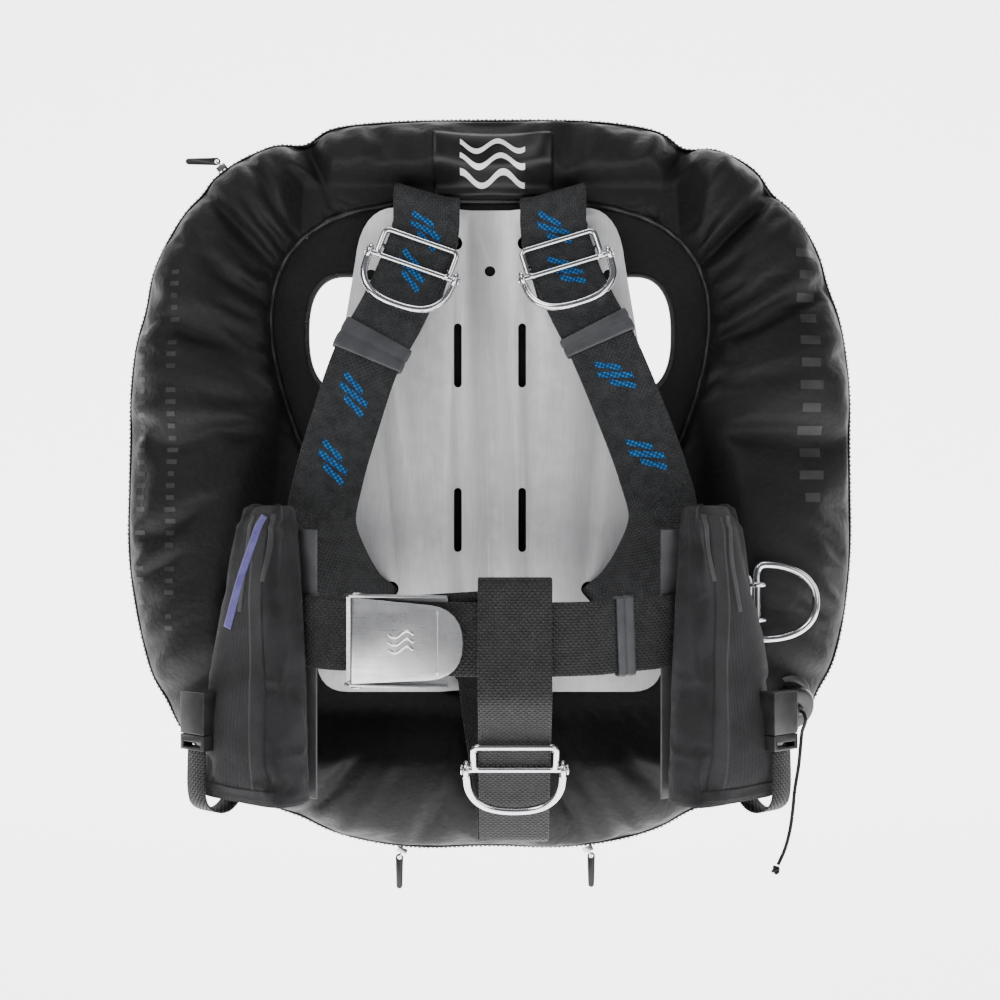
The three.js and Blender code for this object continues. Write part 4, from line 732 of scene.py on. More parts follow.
@dataclass(frozen=True)
class Finish:
    """How one material looks.

    Attributes:
        slot: the slot of this finish; not used.
        color: base colour, linear.
        second: colour of the uneven patches.
        roughness: middle roughness.
        metallic: 1 for metal.
        sheen: cloth sheen weight.
        threads: threads to the metre, 0 for none.
        weave_depth: bump distance of the weave, metres.
        grain: scale of the noise.
        grain_depth: bump distance of the noise, metres.
        stretch: how far the noise is drawn out along x, y and z.
        wear: strength of edge wear.
        dust: amount of dust.
        checker: how dark every second thread is, 0 to 1.
        shine: strength of the plain reflection, 0.5 for most plastics.
    """

    slot: Slot
    color: tuple[float, float, float]
    second: tuple[float, float, float]
    roughness: float = 0.5
    metallic: float = 0.0
    sheen: float = 0.0
    threads: float = 0.0
    weave_depth: float = 0.0002
    grain: float = 30.0
    grain_depth: float = 0.0002
    stretch: tuple[float, float, float] = (1.0, 1.0, 1.0)
    wear: float = 0.0
    dust: float = 0.0
    checker: float = 0.0
    shine: float = 0.5


FINISHES = {
    "wing": Finish(
        Slot.WING, (0.0028, 0.0028, 0.0032), (0.0052, 0.0052, 0.0058), 0.56, sheen=0.015, threads=1500,
        weave_depth=0.00005, grain=14, grain_depth=0.0012, dust=0.01, shine=0.2,
    ),
    "binding": Finish(
        Slot.WING, (0.003, 0.003, 0.0035), (0.006, 0.006, 0.0065), 0.3, sheen=0.01, threads=900,
        weave_depth=0.0001, grain=60, grain_depth=0.0006, shine=0.45,
    ),
    "webbing": Finish(
        Slot.WEB, (0.013, 0.0135, 0.0145), (0.027, 0.028, 0.03), 0.68, sheen=0.06, threads=520,
        weave_depth=0.0007, grain=120, grain_depth=0.0002, shine=0.2,
    ),
    "belt": Finish(
        Slot.WEB, (0.007, 0.007, 0.0075), (0.015, 0.015, 0.016), 0.62, sheen=0.06, threads=520,
        weave_depth=0.0007, grain=120, grain_depth=0.0002, shine=0.25,
    ),
    "mark": Finish(
        Slot.WEB, (0.006, 0.1, 0.32), (0.01, 0.15, 0.42), 0.6, sheen=0.05, checker=0.75, threads=520,
        weave_depth=0.0006, grain=200, shine=0.15,
    ),
    "pocket": Finish(
        Slot.POCKET, (0.011, 0.011, 0.012), (0.024, 0.024, 0.026), 0.75, sheen=0.08, threads=1300,
        weave_depth=0.00014, grain=40, grain_depth=0.0007, dust=0.05, shine=0.12,
    ),
    # fold: a paler copy of the pocket cloth, a painted highlight on the sleeve's gathered folds.
    "fold": Finish(
        Slot.POCKET, (0.03, 0.03, 0.032), (0.055, 0.055, 0.058), 0.8, sheen=0.1, threads=1300,
        weave_depth=0.00014, grain=40, grain_depth=0.0006, shine=0.15,
    ),
    "cord": Finish(
        Slot.CORD, (0.005, 0.005, 0.0055), (0.012, 0.012, 0.012), 0.6, sheen=0.05, threads=1400,
        weave_depth=0.0003, shine=0.2,
    ),
    "label": Finish(Slot.LABEL, (0.05, 0.04, 0.16), (0.09, 0.08, 0.24), 0.5, grain=90, grain_depth=0.0001),
    "patch": Finish(
        Slot.PATCH, (0.003, 0.003, 0.0035), (0.006, 0.006, 0.0065), 0.42, grain=70, grain_depth=0.0002,
        shine=0.3,
    ),
    "white": Finish(Slot.PATCH, (0.8, 0.8, 0.8), (0.7, 0.7, 0.71), 0.5, grain=90, grain_depth=0.0001),
    "print": Finish(
        Slot.WING, (0.014, 0.014, 0.015), (0.024, 0.024, 0.025), 0.5, grain=70, grain_depth=0.0001,
        shine=0.25,
    ),
    "keeper": Finish(
        Slot.KEEPER, (0.032, 0.033, 0.036), (0.045, 0.046, 0.05), 0.45, grain=80, grain_depth=0.0001,
        wear=0.3, shine=0.3,
    ),
    "plate": Finish(
        Slot.PLATE, (0.56, 0.56, 0.57), (0.5, 0.5, 0.51), 0.5, metallic=0.6, grain=900, grain_depth=0.00002,
        stretch=(1, 1, 0.04), wear=0.3,
    ),
    "steel": Finish(
        Slot.STEEL, (0.72, 0.72, 0.74), (0.6, 0.6, 0.62), 0.16, metallic=1.0, grain=60, grain_depth=0.00001,
        wear=0.2,
    ),
    "buckle": Finish(
        Slot.STEEL, (0.66, 0.66, 0.67), (0.56, 0.56, 0.57), 0.3, metallic=1.0, grain=700,
        grain_depth=0.00002, stretch=(0.05, 0.05, 1), wear=0.4,
    ),
    "spring": Finish(Slot.SPRING, (0.6, 0.6, 0.62), (0.5, 0.5, 0.52), 0.25, metallic=1.0),
    "plastic": Finish(
        Slot.PLASTIC, (0.005, 0.005, 0.0055), (0.009, 0.009, 0.0095), 0.36, grain=500, grain_depth=0.00003,
        wear=0.4, dust=0.04,
    ),
    "backing": Finish(
        Slot.PLASTIC, (0.05, 0.05, 0.053), (0.07, 0.07, 0.073), 0.5, grain=60, grain_depth=0.0001,
        shine=0.3,
    ),
}


class MaterialLibrary:
    """Makes each finish's material once."""

    def __init__(self) -> None:
        self.made: dict[str, bpy.types.Material] = {}
        vector = ("Vector", (VECTOR, None))
        self.weave = group(
            "Weave", dict([vector, ("Threads", (FLOAT, 500.0))]), ("Height", "Parity"), fill_weave,
        )
        self.grain = group(
            "Grain", dict([vector, ("Scale", (FLOAT, 30.0))]), ("Tone", "Height"), fill_grain,
        )
        self.wear = group(
            "EdgeWear", dict([vector, ("Scale", (FLOAT, 90.0)), ("Strength", (FLOAT, 0.3))]), ("Mask",),
            fill_wear,
        )
        self.dust = group("Dust", dict([vector, ("Amount", (FLOAT, 0.1))]), ("Mask",), fill_dust)

    def get(self, key: str) -> bpy.types.Material:
        """The material of a finish, made on first use."""
        if key not in self.made:
            self.made[key] = self._make(key, FINISHES[key])
        return self.made[key]

    def _make(self, key: str, look: Finish) -> bpy.types.Material:
        material = bpy.data.materials.new(key)
        material.use_nodes = True
        tree = material.node_tree
        n = Nodes(tree)
        shader = tree.nodes["Principled BSDF"]
        where = n.add("ShaderNodeTexCoord")
        place = n.scaled(where.outputs["Object"], look.stretch)
        grain = n.add("ShaderNodeGroup", node_tree=self.grain)
        n.feed(grain, place, "Scale", look.grain)
        tone = n.ramp(grain.outputs["Tone"], 0.35, 0.65)
        color = n.mix(tone, (*look.color, 1), (*look.second, 1))
        height = n.math("MULTIPLY", grain.outputs["Height"], look.grain_depth)
        rough = n.ramp(
            grain.outputs["Height"], 0.3, 0.7, max(look.roughness - 0.07, 0.03),
            min(look.roughness + 0.09, 1.0),
        )
        if look.threads:
            weave = n.add("ShaderNodeGroup", node_tree=self.weave)
            n.feed(weave, where.outputs["UV"], "Threads", look.threads)
            height = n.math("ADD", height, n.math("MULTIPLY", weave.outputs["Height"], look.weave_depth))
            shade = n.ramp(weave.outputs["Height"], 0.0, 1.0, 0.45, 1.1)
            if look.checker:
                shade = n.math(
                    "MULTIPLY", shade, n.ramp(weave.outputs["Parity"], 0, 1, 1.0, 1 - look.checker),
                )
            color = n.add("ShaderNodeVectorMath", {0: color, "Scale": shade}, operation="SCALE").outputs[0]
        if look.wear:
            wear = n.add("ShaderNodeGroup", node_tree=self.wear)
            n.feed(wear, where.outputs["Object"], "Strength", look.wear)
            color = n.mix(wear.outputs["Mask"], color, (*(min(c * 1.6 + 0.03, 1) for c in look.color), 1))
        if look.dust:
            dust = n.add("ShaderNodeGroup", node_tree=self.dust)
            n.feed(dust, where.outputs["Object"], "Amount", look.dust)
            color = n.mix(dust.outputs["Mask"], color, (0.35, 0.34, 0.32, 1))
        bump = n.add("ShaderNodeBump", {"Height": height, "Distance": 1.0, "Strength": 1.0})
        tree.links.new(color, shader.inputs["Base Color"])
        tree.links.new(rough, shader.inputs["Roughness"])
        tree.links.new(bump.outputs[0], shader.inputs["Normal"])
        shader.inputs["Metallic"].default_value = look.metallic
        shader.inputs["Sheen Weight"].default_value = look.sheen
        shader.inputs["Specular IOR Level"].default_value = look.shine
        return material


LIBRARY = MaterialLibrary()


def dress(obj: Object, finish: str, body: str = ROOT, nodes: Sequence[str] = ()) -> Object:
    """Gives a piece its material and its body, and hides the CAD nodes that it stands for."""
    obj.data.materials.clear()
    obj.data.materials.append(LIBRARY.get(finish))
    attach(obj, body)
    if nodes:
        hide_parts(*nodes)
    return obj


def keep_shape(node: str, width: float, finish: str, body: str = ROOT) -> None:
    """Shows a hard CAD node as it is, with its edges rounded by width mm."""
    dress(refined(node, width), finish, body, (node,))


# ---------------------------------------------------------------- wing surface
def inner_seam(angle: Array) -> Array:
    """Inner seam of the wing: an egg-shaped superellipse, as x and z in mm."""
    sin, cos = np.sin(angle), np.cos(angle)
    x = SEAM_HALF_WIDTH * power(cos, np.array(0.6)) * (1 + SEAM_EGG * sin)
    return np.stack([x, SEAM_MID_Z + SEAM_HALF_HEIGHT * sin], -1)


def folds(angle: Array, gain: float = 1.0) -> Array:
    """Depth in mm of the deep folds at an angle: a narrow bell curve at each."""
    depth = np.zeros_like(angle)
    for degrees, spread, height in CREASES:
        depth += height * np.exp(-((off_angle(angle, degrees) / math.radians(spread * gain)) ** 2))
    return depth


def outer_seam(angle: Array) -> Array:
    """Outer seam: a superellipse, squarer towards the bottom, drawn in at the folds, as x and z in mm."""
    sin, cos = np.sin(angle), np.cos(angle)
    p = 2 / (2.5 + (3.2 - 2.5) * (1 + sin) / 2)
    keep = np.ones_like(angle)
    for degrees in SLIDER_ANGLES:
        keep *= 1 - np.exp(-((off_angle(angle, degrees) / math.radians(SLIDER_REACH)) ** 2))
    pull = 1 - keep * (0.3 * folds(angle, 1.6) + 0.9 * (1 + waves(angle, 31, 4, 9, 19))) / 280
    return np.stack(
        [WING_HALF_WIDTH * power(cos, p) * pull, WING_MID_Z + WING_HALF_HEIGHT * power(sin, p) * pull], -1,
    )


def front_limit(x: Array, z: Array) -> Array:
    """Furthest forward depth, mm, that keeps the wing behind the plate and the straps."""
    half = PLATE_SHOULDER_HALF + (
        PLATE_BOTTOM_HALF - PLATE_SHOULDER_HALF
    ) * (PLATE_HALF_HEIGHT - z) / (2 * PLATE_HALF_HEIGHT)
    base = np.where(z > 145, -9.2, -14.2)
    reach = np.maximum(np.maximum(np.abs(x) - half - 42, np.abs(z) - PLATE_HALF_HEIGHT - 20), 0)
    return base - 1.5 * reach


@dataclass
class AirCell:
    """The wing: a ring-shaped cell of coated cloth, sewn at its inner and outer seams.

    Attributes:
        stations: sections round the ring.
        rows: points round each section.
    """

    stations: int = 420
    rows: int = 52

    def surface(self) -> tuple[Array, Array]:
        """Points and UV of the ring before simulation.

        Each section runs from the inner to the outer seam as half + half cos t outwards and
        -thick sin t in depth. Pleats are sines of the angle that fade 30 mm from a seam, folds
        are narrow dips of the fullness at set angles, and slow waves vary it.

        Returns:
            Points (stations x rows x 3) in mm and UV in metres.
        """
        a = turn(self.stations)
        t = turn(self.rows)
        inner, outer = inner_seam(a), outer_seam(a)
        across = outer - inner
        width = np.linalg.norm(across, axis=1)
        half = width / 2
        thick = np.minimum(WING_MAX_HALF_THICK, width * WING_FULLNESS)
        out = half[:, None] * (1 + np.cos(t))
        swell = np.sin(t)[None] * np.ones_like(a)[:, None]
        fold = folds(a)[:, None] * np.abs(np.sin(t)) ** 0.7
        warp = a + 0.05 * waves(a, 5, 3, 2, 6)
        pleat = 0.6 * np.sin(46 * warp + 1.5 * waves(a, 8, 3, 3, 9)) + 0.4 * np.sin(71 * warp)
        near_in = np.exp(-out / 26) * np.minimum(out / 5, 1)
        near_out = np.exp(-(width[:, None] - out) / 22) * np.minimum((width[:, None] - out) / 4, 1)
        side = np.where(np.sin(t) >= 0, 1, 0.7)[None]
        ripple = pleat[:, None] * (7.5 * near_in + 4.2 * np.roll(near_out, 3, 0)) * side
        slow = 3.4 * waves(a, 11, 5, 3, 11)[:, None] * np.abs(np.sin(t)) + 2.6 * waves(a, 21, 6, 8, 24)[:, None] * np.sin(t + 0.8) ** 2
        depth = thick[:, None] * swell + np.sign(swell) * (ripple + slow - fold)
        direction = unit(across)
        flat = inner[:, None] + direction[:, None] * out[..., None]
        points = np.stack([flat[..., 0], WING_MID_Y - depth, flat[..., 1]], -1)
        points[..., 1] = np.maximum(points[..., 1], front_limit(points[..., 0], points[..., 2]))
        length = travelled((inner + outer) / 2)
        around = np.append(length, length[-1] * (1 + 1 / self.stations))
        section = np.linspace(0, 0.24, self.rows + 1)
        uv = np.stack(np.meshgrid(around * MM, section, indexing="ij"), -1)
        return points, uv

    def build(self) -> None:
        """Makes the cloth, inflates it, and lays its patch and printed bars on it."""
        points, uv = self.surface()
        cell = grid_mesh("wing_cloth", points, uv, (True, True))
        share = np.cos(turn(self.rows))
        pinned = np.tile(np.abs(share) > 0.93, self.stations)
        inflate(cell, pinned, pressure=2.2, grow=0.045, cap=7.0)
        self._hold_back(cell)
        refine(cell)
        dress(cell, "wing", nodes=("wing_front_shell", "wing_rear_shell", "inner_bladder"))
        self._seam_cord()
        self._prints(surface_tree(cell))

    def _hold_back(self, cell: Object) -> None:
        """Keeps the simulated front behind the plate and the straps."""
        co = read_points(cell)
        limit = front_limit(co[:, 0], co[:, 2])
        co[:, 1] = np.maximum(co[:, 1], limit)
        write_points(cell, co)

    def _seam_cord(self) -> None:
        """Piped binding along the inner seam."""
        a = turn(480)
        xz = inner_seam(a)
        gather = 0.9 * np.sin(46 * (a + 0.05 * waves(a, 5, 3, 2, 6)))
        path = np.stack([xz[:, 0], np.full(len(a), WING_MID_Y - 2.2) + gather, xz[:, 1]], 1)
        dress(tube("wing_inner_binding", path, 2.4, 12, closed=True), "binding")

    def _prints(self, tree: BVHTree) -> None:
        """The top patch with its light wave marks, and the printed bars on both sides."""
        grid = np.stack(np.meshgrid(np.linspace(-44, 49, 30), np.linspace(198, 245, 20), indexing="ij"), -1)
        flat = np.stack([grid[..., 0], np.full(grid.shape[:2], -PRINT_START), grid[..., 1]], -1)
        uv = grid * MM
        patch = grid_mesh("top_patch_cloth", laid_on(tree, flat, (0, 1, 0), 0.5), uv)
        patch.modifiers.new("thickness", "SOLIDIFY").thickness = 0.8 * MM
        dress(patch, "patch", nodes=("top_patch",))
        parts = []
        for row, lift in enumerate((-12, 0, 12)):
            s, w = np.meshgrid(np.linspace(-1, 1, 41), np.linspace(-1, 1, 4), indexing="ij")
            x = 2 + 25 * s
            z = 222 + lift + 4.5 * np.sin(math.pi * s * 1.5 + row * 0.4) + 2.1 * w
            flat = np.stack([x, np.full_like(x, -PRINT_START), z], -1)
            parts.append(grid_mesh("wave", laid_on(tree, flat, (0, 1, 0), 1.1), np.stack([x, z], -1) * MM))
        dress(joined(parts, "top_patch_waves"), "white")
        rng = np.random.default_rng(4)
        for side, columns in (
            (1, ((243, 20, 150, -40, 17),)), (-1, ((-266, 9, 134, -140, 9), (-240, 9, 134, -140, 9))),
        ):
            parts = []
            for x, width, top, bottom, pitch in columns:
                for z in np.arange(top, bottom, -pitch):
                    if rng.random() < 0.12:
                        continue
                    bar = width * rng.uniform(0.55, 1.0)
                    s, w = np.meshgrid(
                        np.linspace(-bar / 2, bar / 2, 9), np.linspace(-pitch * 0.2, pitch * 0.2, 5),
                        indexing="ij",
                    )
                    lean = -0.06 * (z - 50) * side
                    flat = np.stack([x + lean * 0.3 + s, np.full_like(s, -PRINT_START), z + w], -1)
                    laid = laid_on(tree, flat, (0, 1, 0), 0.35)
                    if np.isfinite(laid).all() and laid[..., 1].max() < -14:
                        parts.append(grid_mesh("bar", laid, np.stack([s, w], -1) * MM))
            dress(joined(parts, f"wing_print_{'left' if side > 0 else 'right'}"), "print")


def read_points(obj: Object) -> Array:
    """A mesh's points, mm."""
    co = np.zeros(len(obj.data.vertices) * 3, np.float32)
    obj.data.vertices.foreach_get("co", co)
    return co.reshape(-1, 3).astype(float) / MM


def write_points(obj: Object, points: Array) -> None:
    """Sets a mesh's points from mm."""
    obj.data.vertices.foreach_set("co", (points * MM).astype(np.float32).ravel())
    obj.data.update()


def inflate(obj: Object, pinned: Array, pressure: float, grow: float, cap: float, frames: int = 16) -> None:
    """Puffs a closed cloth by simulation and applies the result.

    Args:
        obj: the cloth, its place in its mesh.
        pinned: one flag for each point that stays where it is.
        pressure: air pressure.
        grow: share by which the cloth is larger than the shape, which makes it pucker.
        cap: furthest that a point may move, mm.
        frames: frames simulated.
    """
    before = read_points(obj)
    held = obj.vertex_groups.new(name="held")
    held.add(np.flatnonzero(pinned).tolist(), 1.0, "REPLACE")
    cloth = obj.modifiers.new("cloth", "CLOTH")
    settings = cloth.settings
    settings.quality = 5
    settings.mass = 0.2
    settings.tension_stiffness = settings.compression_stiffness = 12
    settings.bending_stiffness = 0.25
    settings.vertex_group_mass = "held"
    settings.use_pressure = True
    settings.uniform_pressure_force = pressure
    settings.shrink_min = -grow
    settings.effector_weights.gravity = 0
    cloth.collision_settings.use_collision = False
    cloth.point_cache.frame_start = 1
    cloth.point_cache.frame_end = frames
    scene = bpy.context.scene
    for step in range(1, frames + 1):
        scene.frame_set(step)
    done = evaluated(obj)
    after = np.zeros(len(done.vertices) * 3, np.float32)
    done.vertices.foreach_get("co", after)
    obj.modifiers.clear()
    bpy.data.meshes.remove(done)
    scene.frame_set(1)
    move = after.reshape(-1, 3) / MM - before
    size = np.linalg.norm(move, axis=1, keepdims=True)
    move *= cap * np.tanh(size / cap) / np.maximum(size, 1e-9)
    LOG.info("%s moved %.1f mm at most", obj.name, float(np.linalg.norm(move, axis=1).max()))
    write_points(obj, before + move)


def refine(obj: Object) -> None:
    """Adds a subdivision and applies it."""
    sub = obj.modifiers.new("smooth", "SUBSURF")
    sub.levels = sub.render_levels = 1
    mesh = evaluated(obj)
    obj.modifiers.clear()
    old, obj.data = obj.data, mesh
    mesh.name = obj.name
    bpy.data.meshes.remove(old)


@dataclass
class CentrePanel:
    """The wing's flat centre panel, its zip and its bound windows."""

    teeth_pitch: float = 3.4

    def build(self) -> None:
        """Makes the panel, the window bindings, the zip and its teeth."""
        self._panel()
        self._zip()

    def _window(self, side: int, outset: float) -> Array:
        t = turn(64)
        x = side * WINDOW_X + (WINDOW_HALF_WIDTH + outset) * power(np.cos(t), np.array(0.8))
        return np.stack([x, WINDOW_Z + (WINDOW_HALF_HEIGHT + outset) * power(np.sin(t), np.array(0.8))], 1)

    def _panel(self) -> None:
        outer = inner_seam(turn(160))
        outer = outer + unit(outer - (0, 20)) * -2.2
        curve = bpy.data.curves.new("wing_panel", "CURVE")
        curve.dimensions = "2D"
        curve.fill_mode = "BOTH"
        curve.extrude = 0.7 * MM
        curve.bevel_depth = 0.3 * MM
        for loop in (outer, self._window(1, 0.5), self._window(-1, 0.5)):
            spline = curve.splines.new("POLY")
            spline.points.add(len(loop) - 1)
            spline.points.foreach_set(
                "co", np.hstack([loop * MM, np.zeros((len(loop), 1)), np.ones((len(loop), 1))]).ravel(),
            )
            spline.use_cyclic_u = True
        flat = linked("flat", curve)
        mesh = evaluated(flat)
        bpy.data.objects.remove(flat)
        co = np.zeros(len(mesh.vertices) * 3, np.float32)
        mesh.vertices.foreach_get("co", co)
        co = co.reshape(-1, 3)
        placed = np.stack([co[:, 0], WING_MID_Y * MM + co[:, 2], co[:, 1]], 1)
        mesh.vertices.foreach_set("co", placed.astype(np.float32).ravel())
        corner = np.zeros(len(mesh.loops), np.int32)
        mesh.loops.foreach_get("vertex_index", corner)
        layer = mesh.uv_layers.active or mesh.uv_layers.new(name="UVMap")
        layer.data.foreach_set("uv", placed[corner][:, (0, 2)].astype(np.float32).ravel())
        panel = bpy.data.objects.new("wing_panel_cloth", mesh)
        bpy.context.scene.collection.objects.link(panel)
        outward(panel)
        dress(panel, "wing", nodes=("wing_centre_panel",))
        for side, name in ((1, "left"), (-1, "right")):
            loop = self._window(side, 1.6)
            path = np.stack([loop[:, 0], np.full(len(loop), WING_MID_Y), loop[:, 1]], 1)
            dress(tube(f"window_binding_{name}", resampled(path, 160, True), 2.2, 10, True), "binding")

    def _zip(self) -> None:
        """The zip: two tapes along the outer seam with a row of interlocked teeth between them."""
        a = turn(720)
        seam = outer_seam(a)
        normal = unit(seam - inner_seam(a))
        path = np.stack(
            [seam[:, 0] + normal[:, 0] * 0.6, np.full(len(a), WING_MID_Y), seam[:, 1] + normal[:, 1] * 0.6],
            1,
        )
        out = np.stack([normal[:, 0], np.zeros(len(a)), normal[:, 1]], 1)
        back = np.tile((0.0, 1.0, 0.0), (len(a), 1))
        section = np.array(
            [(-4, -0.6), (4, -0.6), (4.3, 0), (4, 0.6), (1.5, 0.8), (-1.5, 0.8), (-4, 0.6), (-4.3, 0)]
        )
        dress(sweep("zip_tape", path, section, back, out, closed=True), "binding", nodes=("perimeter_zip",))
        length = np.linalg.norm(np.roll(path, -1, 0) - path, axis=1)
        total = np.concatenate([[0], np.cumsum(length)])
        count = int(total[-1] / self.teeth_pitch)
        at = (np.arange(count) + 0.5) * total[-1] / count
        loop = np.vstack([path, path[:1]])
        spine = np.stack([np.interp(at, total, loop[:, k]) for k in range(3)], 1)
        outs = unit(np.stack([np.interp(at, total, np.append(out[:, k], out[0, k])) for k in range(3)], 1))
        along = np.cross(outs, (0.0, 1.0, 0.0))
        box = np.array([(x, y, z) for x in (-1, 1) for y in (-1, 1) for z in (-1, 1)]) * (0.95, 1.7, 0.6)
        shift = np.where(np.arange(count) % 2, 0.6, -0.6)
        centre = spine + outs * 1.2
        verts = centre[:, None] + box[None, :, :1] * along[:, None] + (
            box[None, :, 1:2] + shift[:, None, None]
        ) * (0, 1, 0) + box[None, :, 2:] * outs[:, None]
        quads = np.array(
            [(0, 1, 3, 2), (4, 6, 7, 5), (0, 4, 5, 1), (2, 3, 7, 6), (0, 2, 6, 4), (1, 5, 7, 3)]
        )
        faces = (quads[None] + 8 * np.arange(count)[:, None, None]).reshape(-1, 4)
        mesh = bpy.data.meshes.new("zip_teeth")
        mesh.from_pydata((verts.reshape(-1, 3) * MM).tolist(), [], faces.tolist())
        teeth = linked("zip_teeth", mesh)
        outward(teeth)
        dress(teeth, "plastic")


# ---------------------------------------------------------------- harness
def rounded_loop(half_x: float, half_y: float, corner: float, z: float) -> Array:
    """A rounded rectangle as 40 points round its outline."""
    points = []
    for quarter, (sx, sy) in enumerate(((1, 1), (-1, 1), (-1, -1), (1, -1))):
        for i in range(10):
            angle = math.pi / 2 * (quarter + i / 9)
            points.append(
                (
                    sx * (half_x - corner) + corner * math.cos(angle),
                    sy * (half_y - corner) + corner * math.sin(angle), z,
                )
            )
    return np.array(points)


def torus(
    name: str, place: Frame, centre: Sequence[float], radius: float, wire: float, axis: str,
) -> Object:
    """A wire ring about the local x or z axis."""
    t = turn(32)
    zero = np.zeros_like(t)
    loop = (zero, radius * np.cos(t), radius * np.sin(t)) if axis == "x" else (
        radius * np.cos(t), radius * np.sin(t), zero,
    )
    return tube(name, place.place(np.stack(loop, 1) + centre), wire, 12, closed=True)


@dataclass
class RingSet:
    """A wire slide with a D-ring that hangs from its pins."""

    name: str
    slide: str
    ring: str

    def build(self) -> None:
        """Makes the slide's frame, bars and pins, and the ring with its two eyes."""
        place = FRAMES[self.slide]
        parts = [
            tube(
                "frame", place.place(rounded_loop(SLIDE_HALF_WIDTH, SLIDE_HALF_HEIGHT, 4, ROD_OFFSET)),
                ROD_R, 14, True,
            )
        ]
        reach = SLIDE_HALF_WIDTH
        staple = (
            (-reach, 0, ROD_OFFSET), (-reach, 0, 0), (
                -reach + 1, 0, 1 - ROD_OFFSET,
            ), (-reach + 4, 0, -ROD_OFFSET),
            (0, 0, -ROD_OFFSET), (reach - 4, 0, -ROD_OFFSET), (
                reach - 1, 0, 1 - ROD_OFFSET,
            ), (reach, 0, 0), (reach, 0, ROD_OFFSET),
        )
        parts.append(tube("staple", place.place(resampled(staple, 60)), ROD_R * 0.9, 12))
        start = RING_HALF_WIDTH + EYE_WIRE_R + 0.5
        for side in (-1, 1):
            turned = Frame(
                tuple(
                    place.place((0, -SLIDE_HALF_HEIGHT, ROD_OFFSET))
                ), place.y, place.z, tuple(side * c for c in place.x)
            )
            profile = (
                (0.01, SLIDE_HALF_WIDTH - 3), (ROD_R, SLIDE_HALF_WIDTH - 3), (ROD_R, start),
                (ROD_R + 1.4, start), (ROD_R + 1.4, start + 1.5), (0.01, start + 1.5),
            )
            parts.append(lathe("pin", profile, turned, 24))
        dress(joined(parts, f"{self.name}_slide_wire"), "steel", nodes=(self.slide,))
        place = FRAMES[self.ring]
        angle = math.pi * (1 + np.linspace(0, 1, 64))
        arc = np.stack([
            RING_HALF_WIDTH * power(np.cos(angle), np.array(0.75)),
            -EYE_R + (RING_DEPTH - EYE_R) * power(np.sin(angle), np.array(0.85)), np.zeros_like(angle),
        ], 1)
        even = resampled(arc[::7], 90)
        parts = [tube("arc", place.place(even), RING_WIRE_R, 18)]
        parts += [
            torus("eye", place, (side * RING_HALF_WIDTH, 0, 0), EYE_R, EYE_WIRE_R, "x") for side in (-1, 1)
        ]
        dress(joined(parts, f"{self.name}_ring_wire"), "steel", f"{self.ring}_body", (self.ring,))


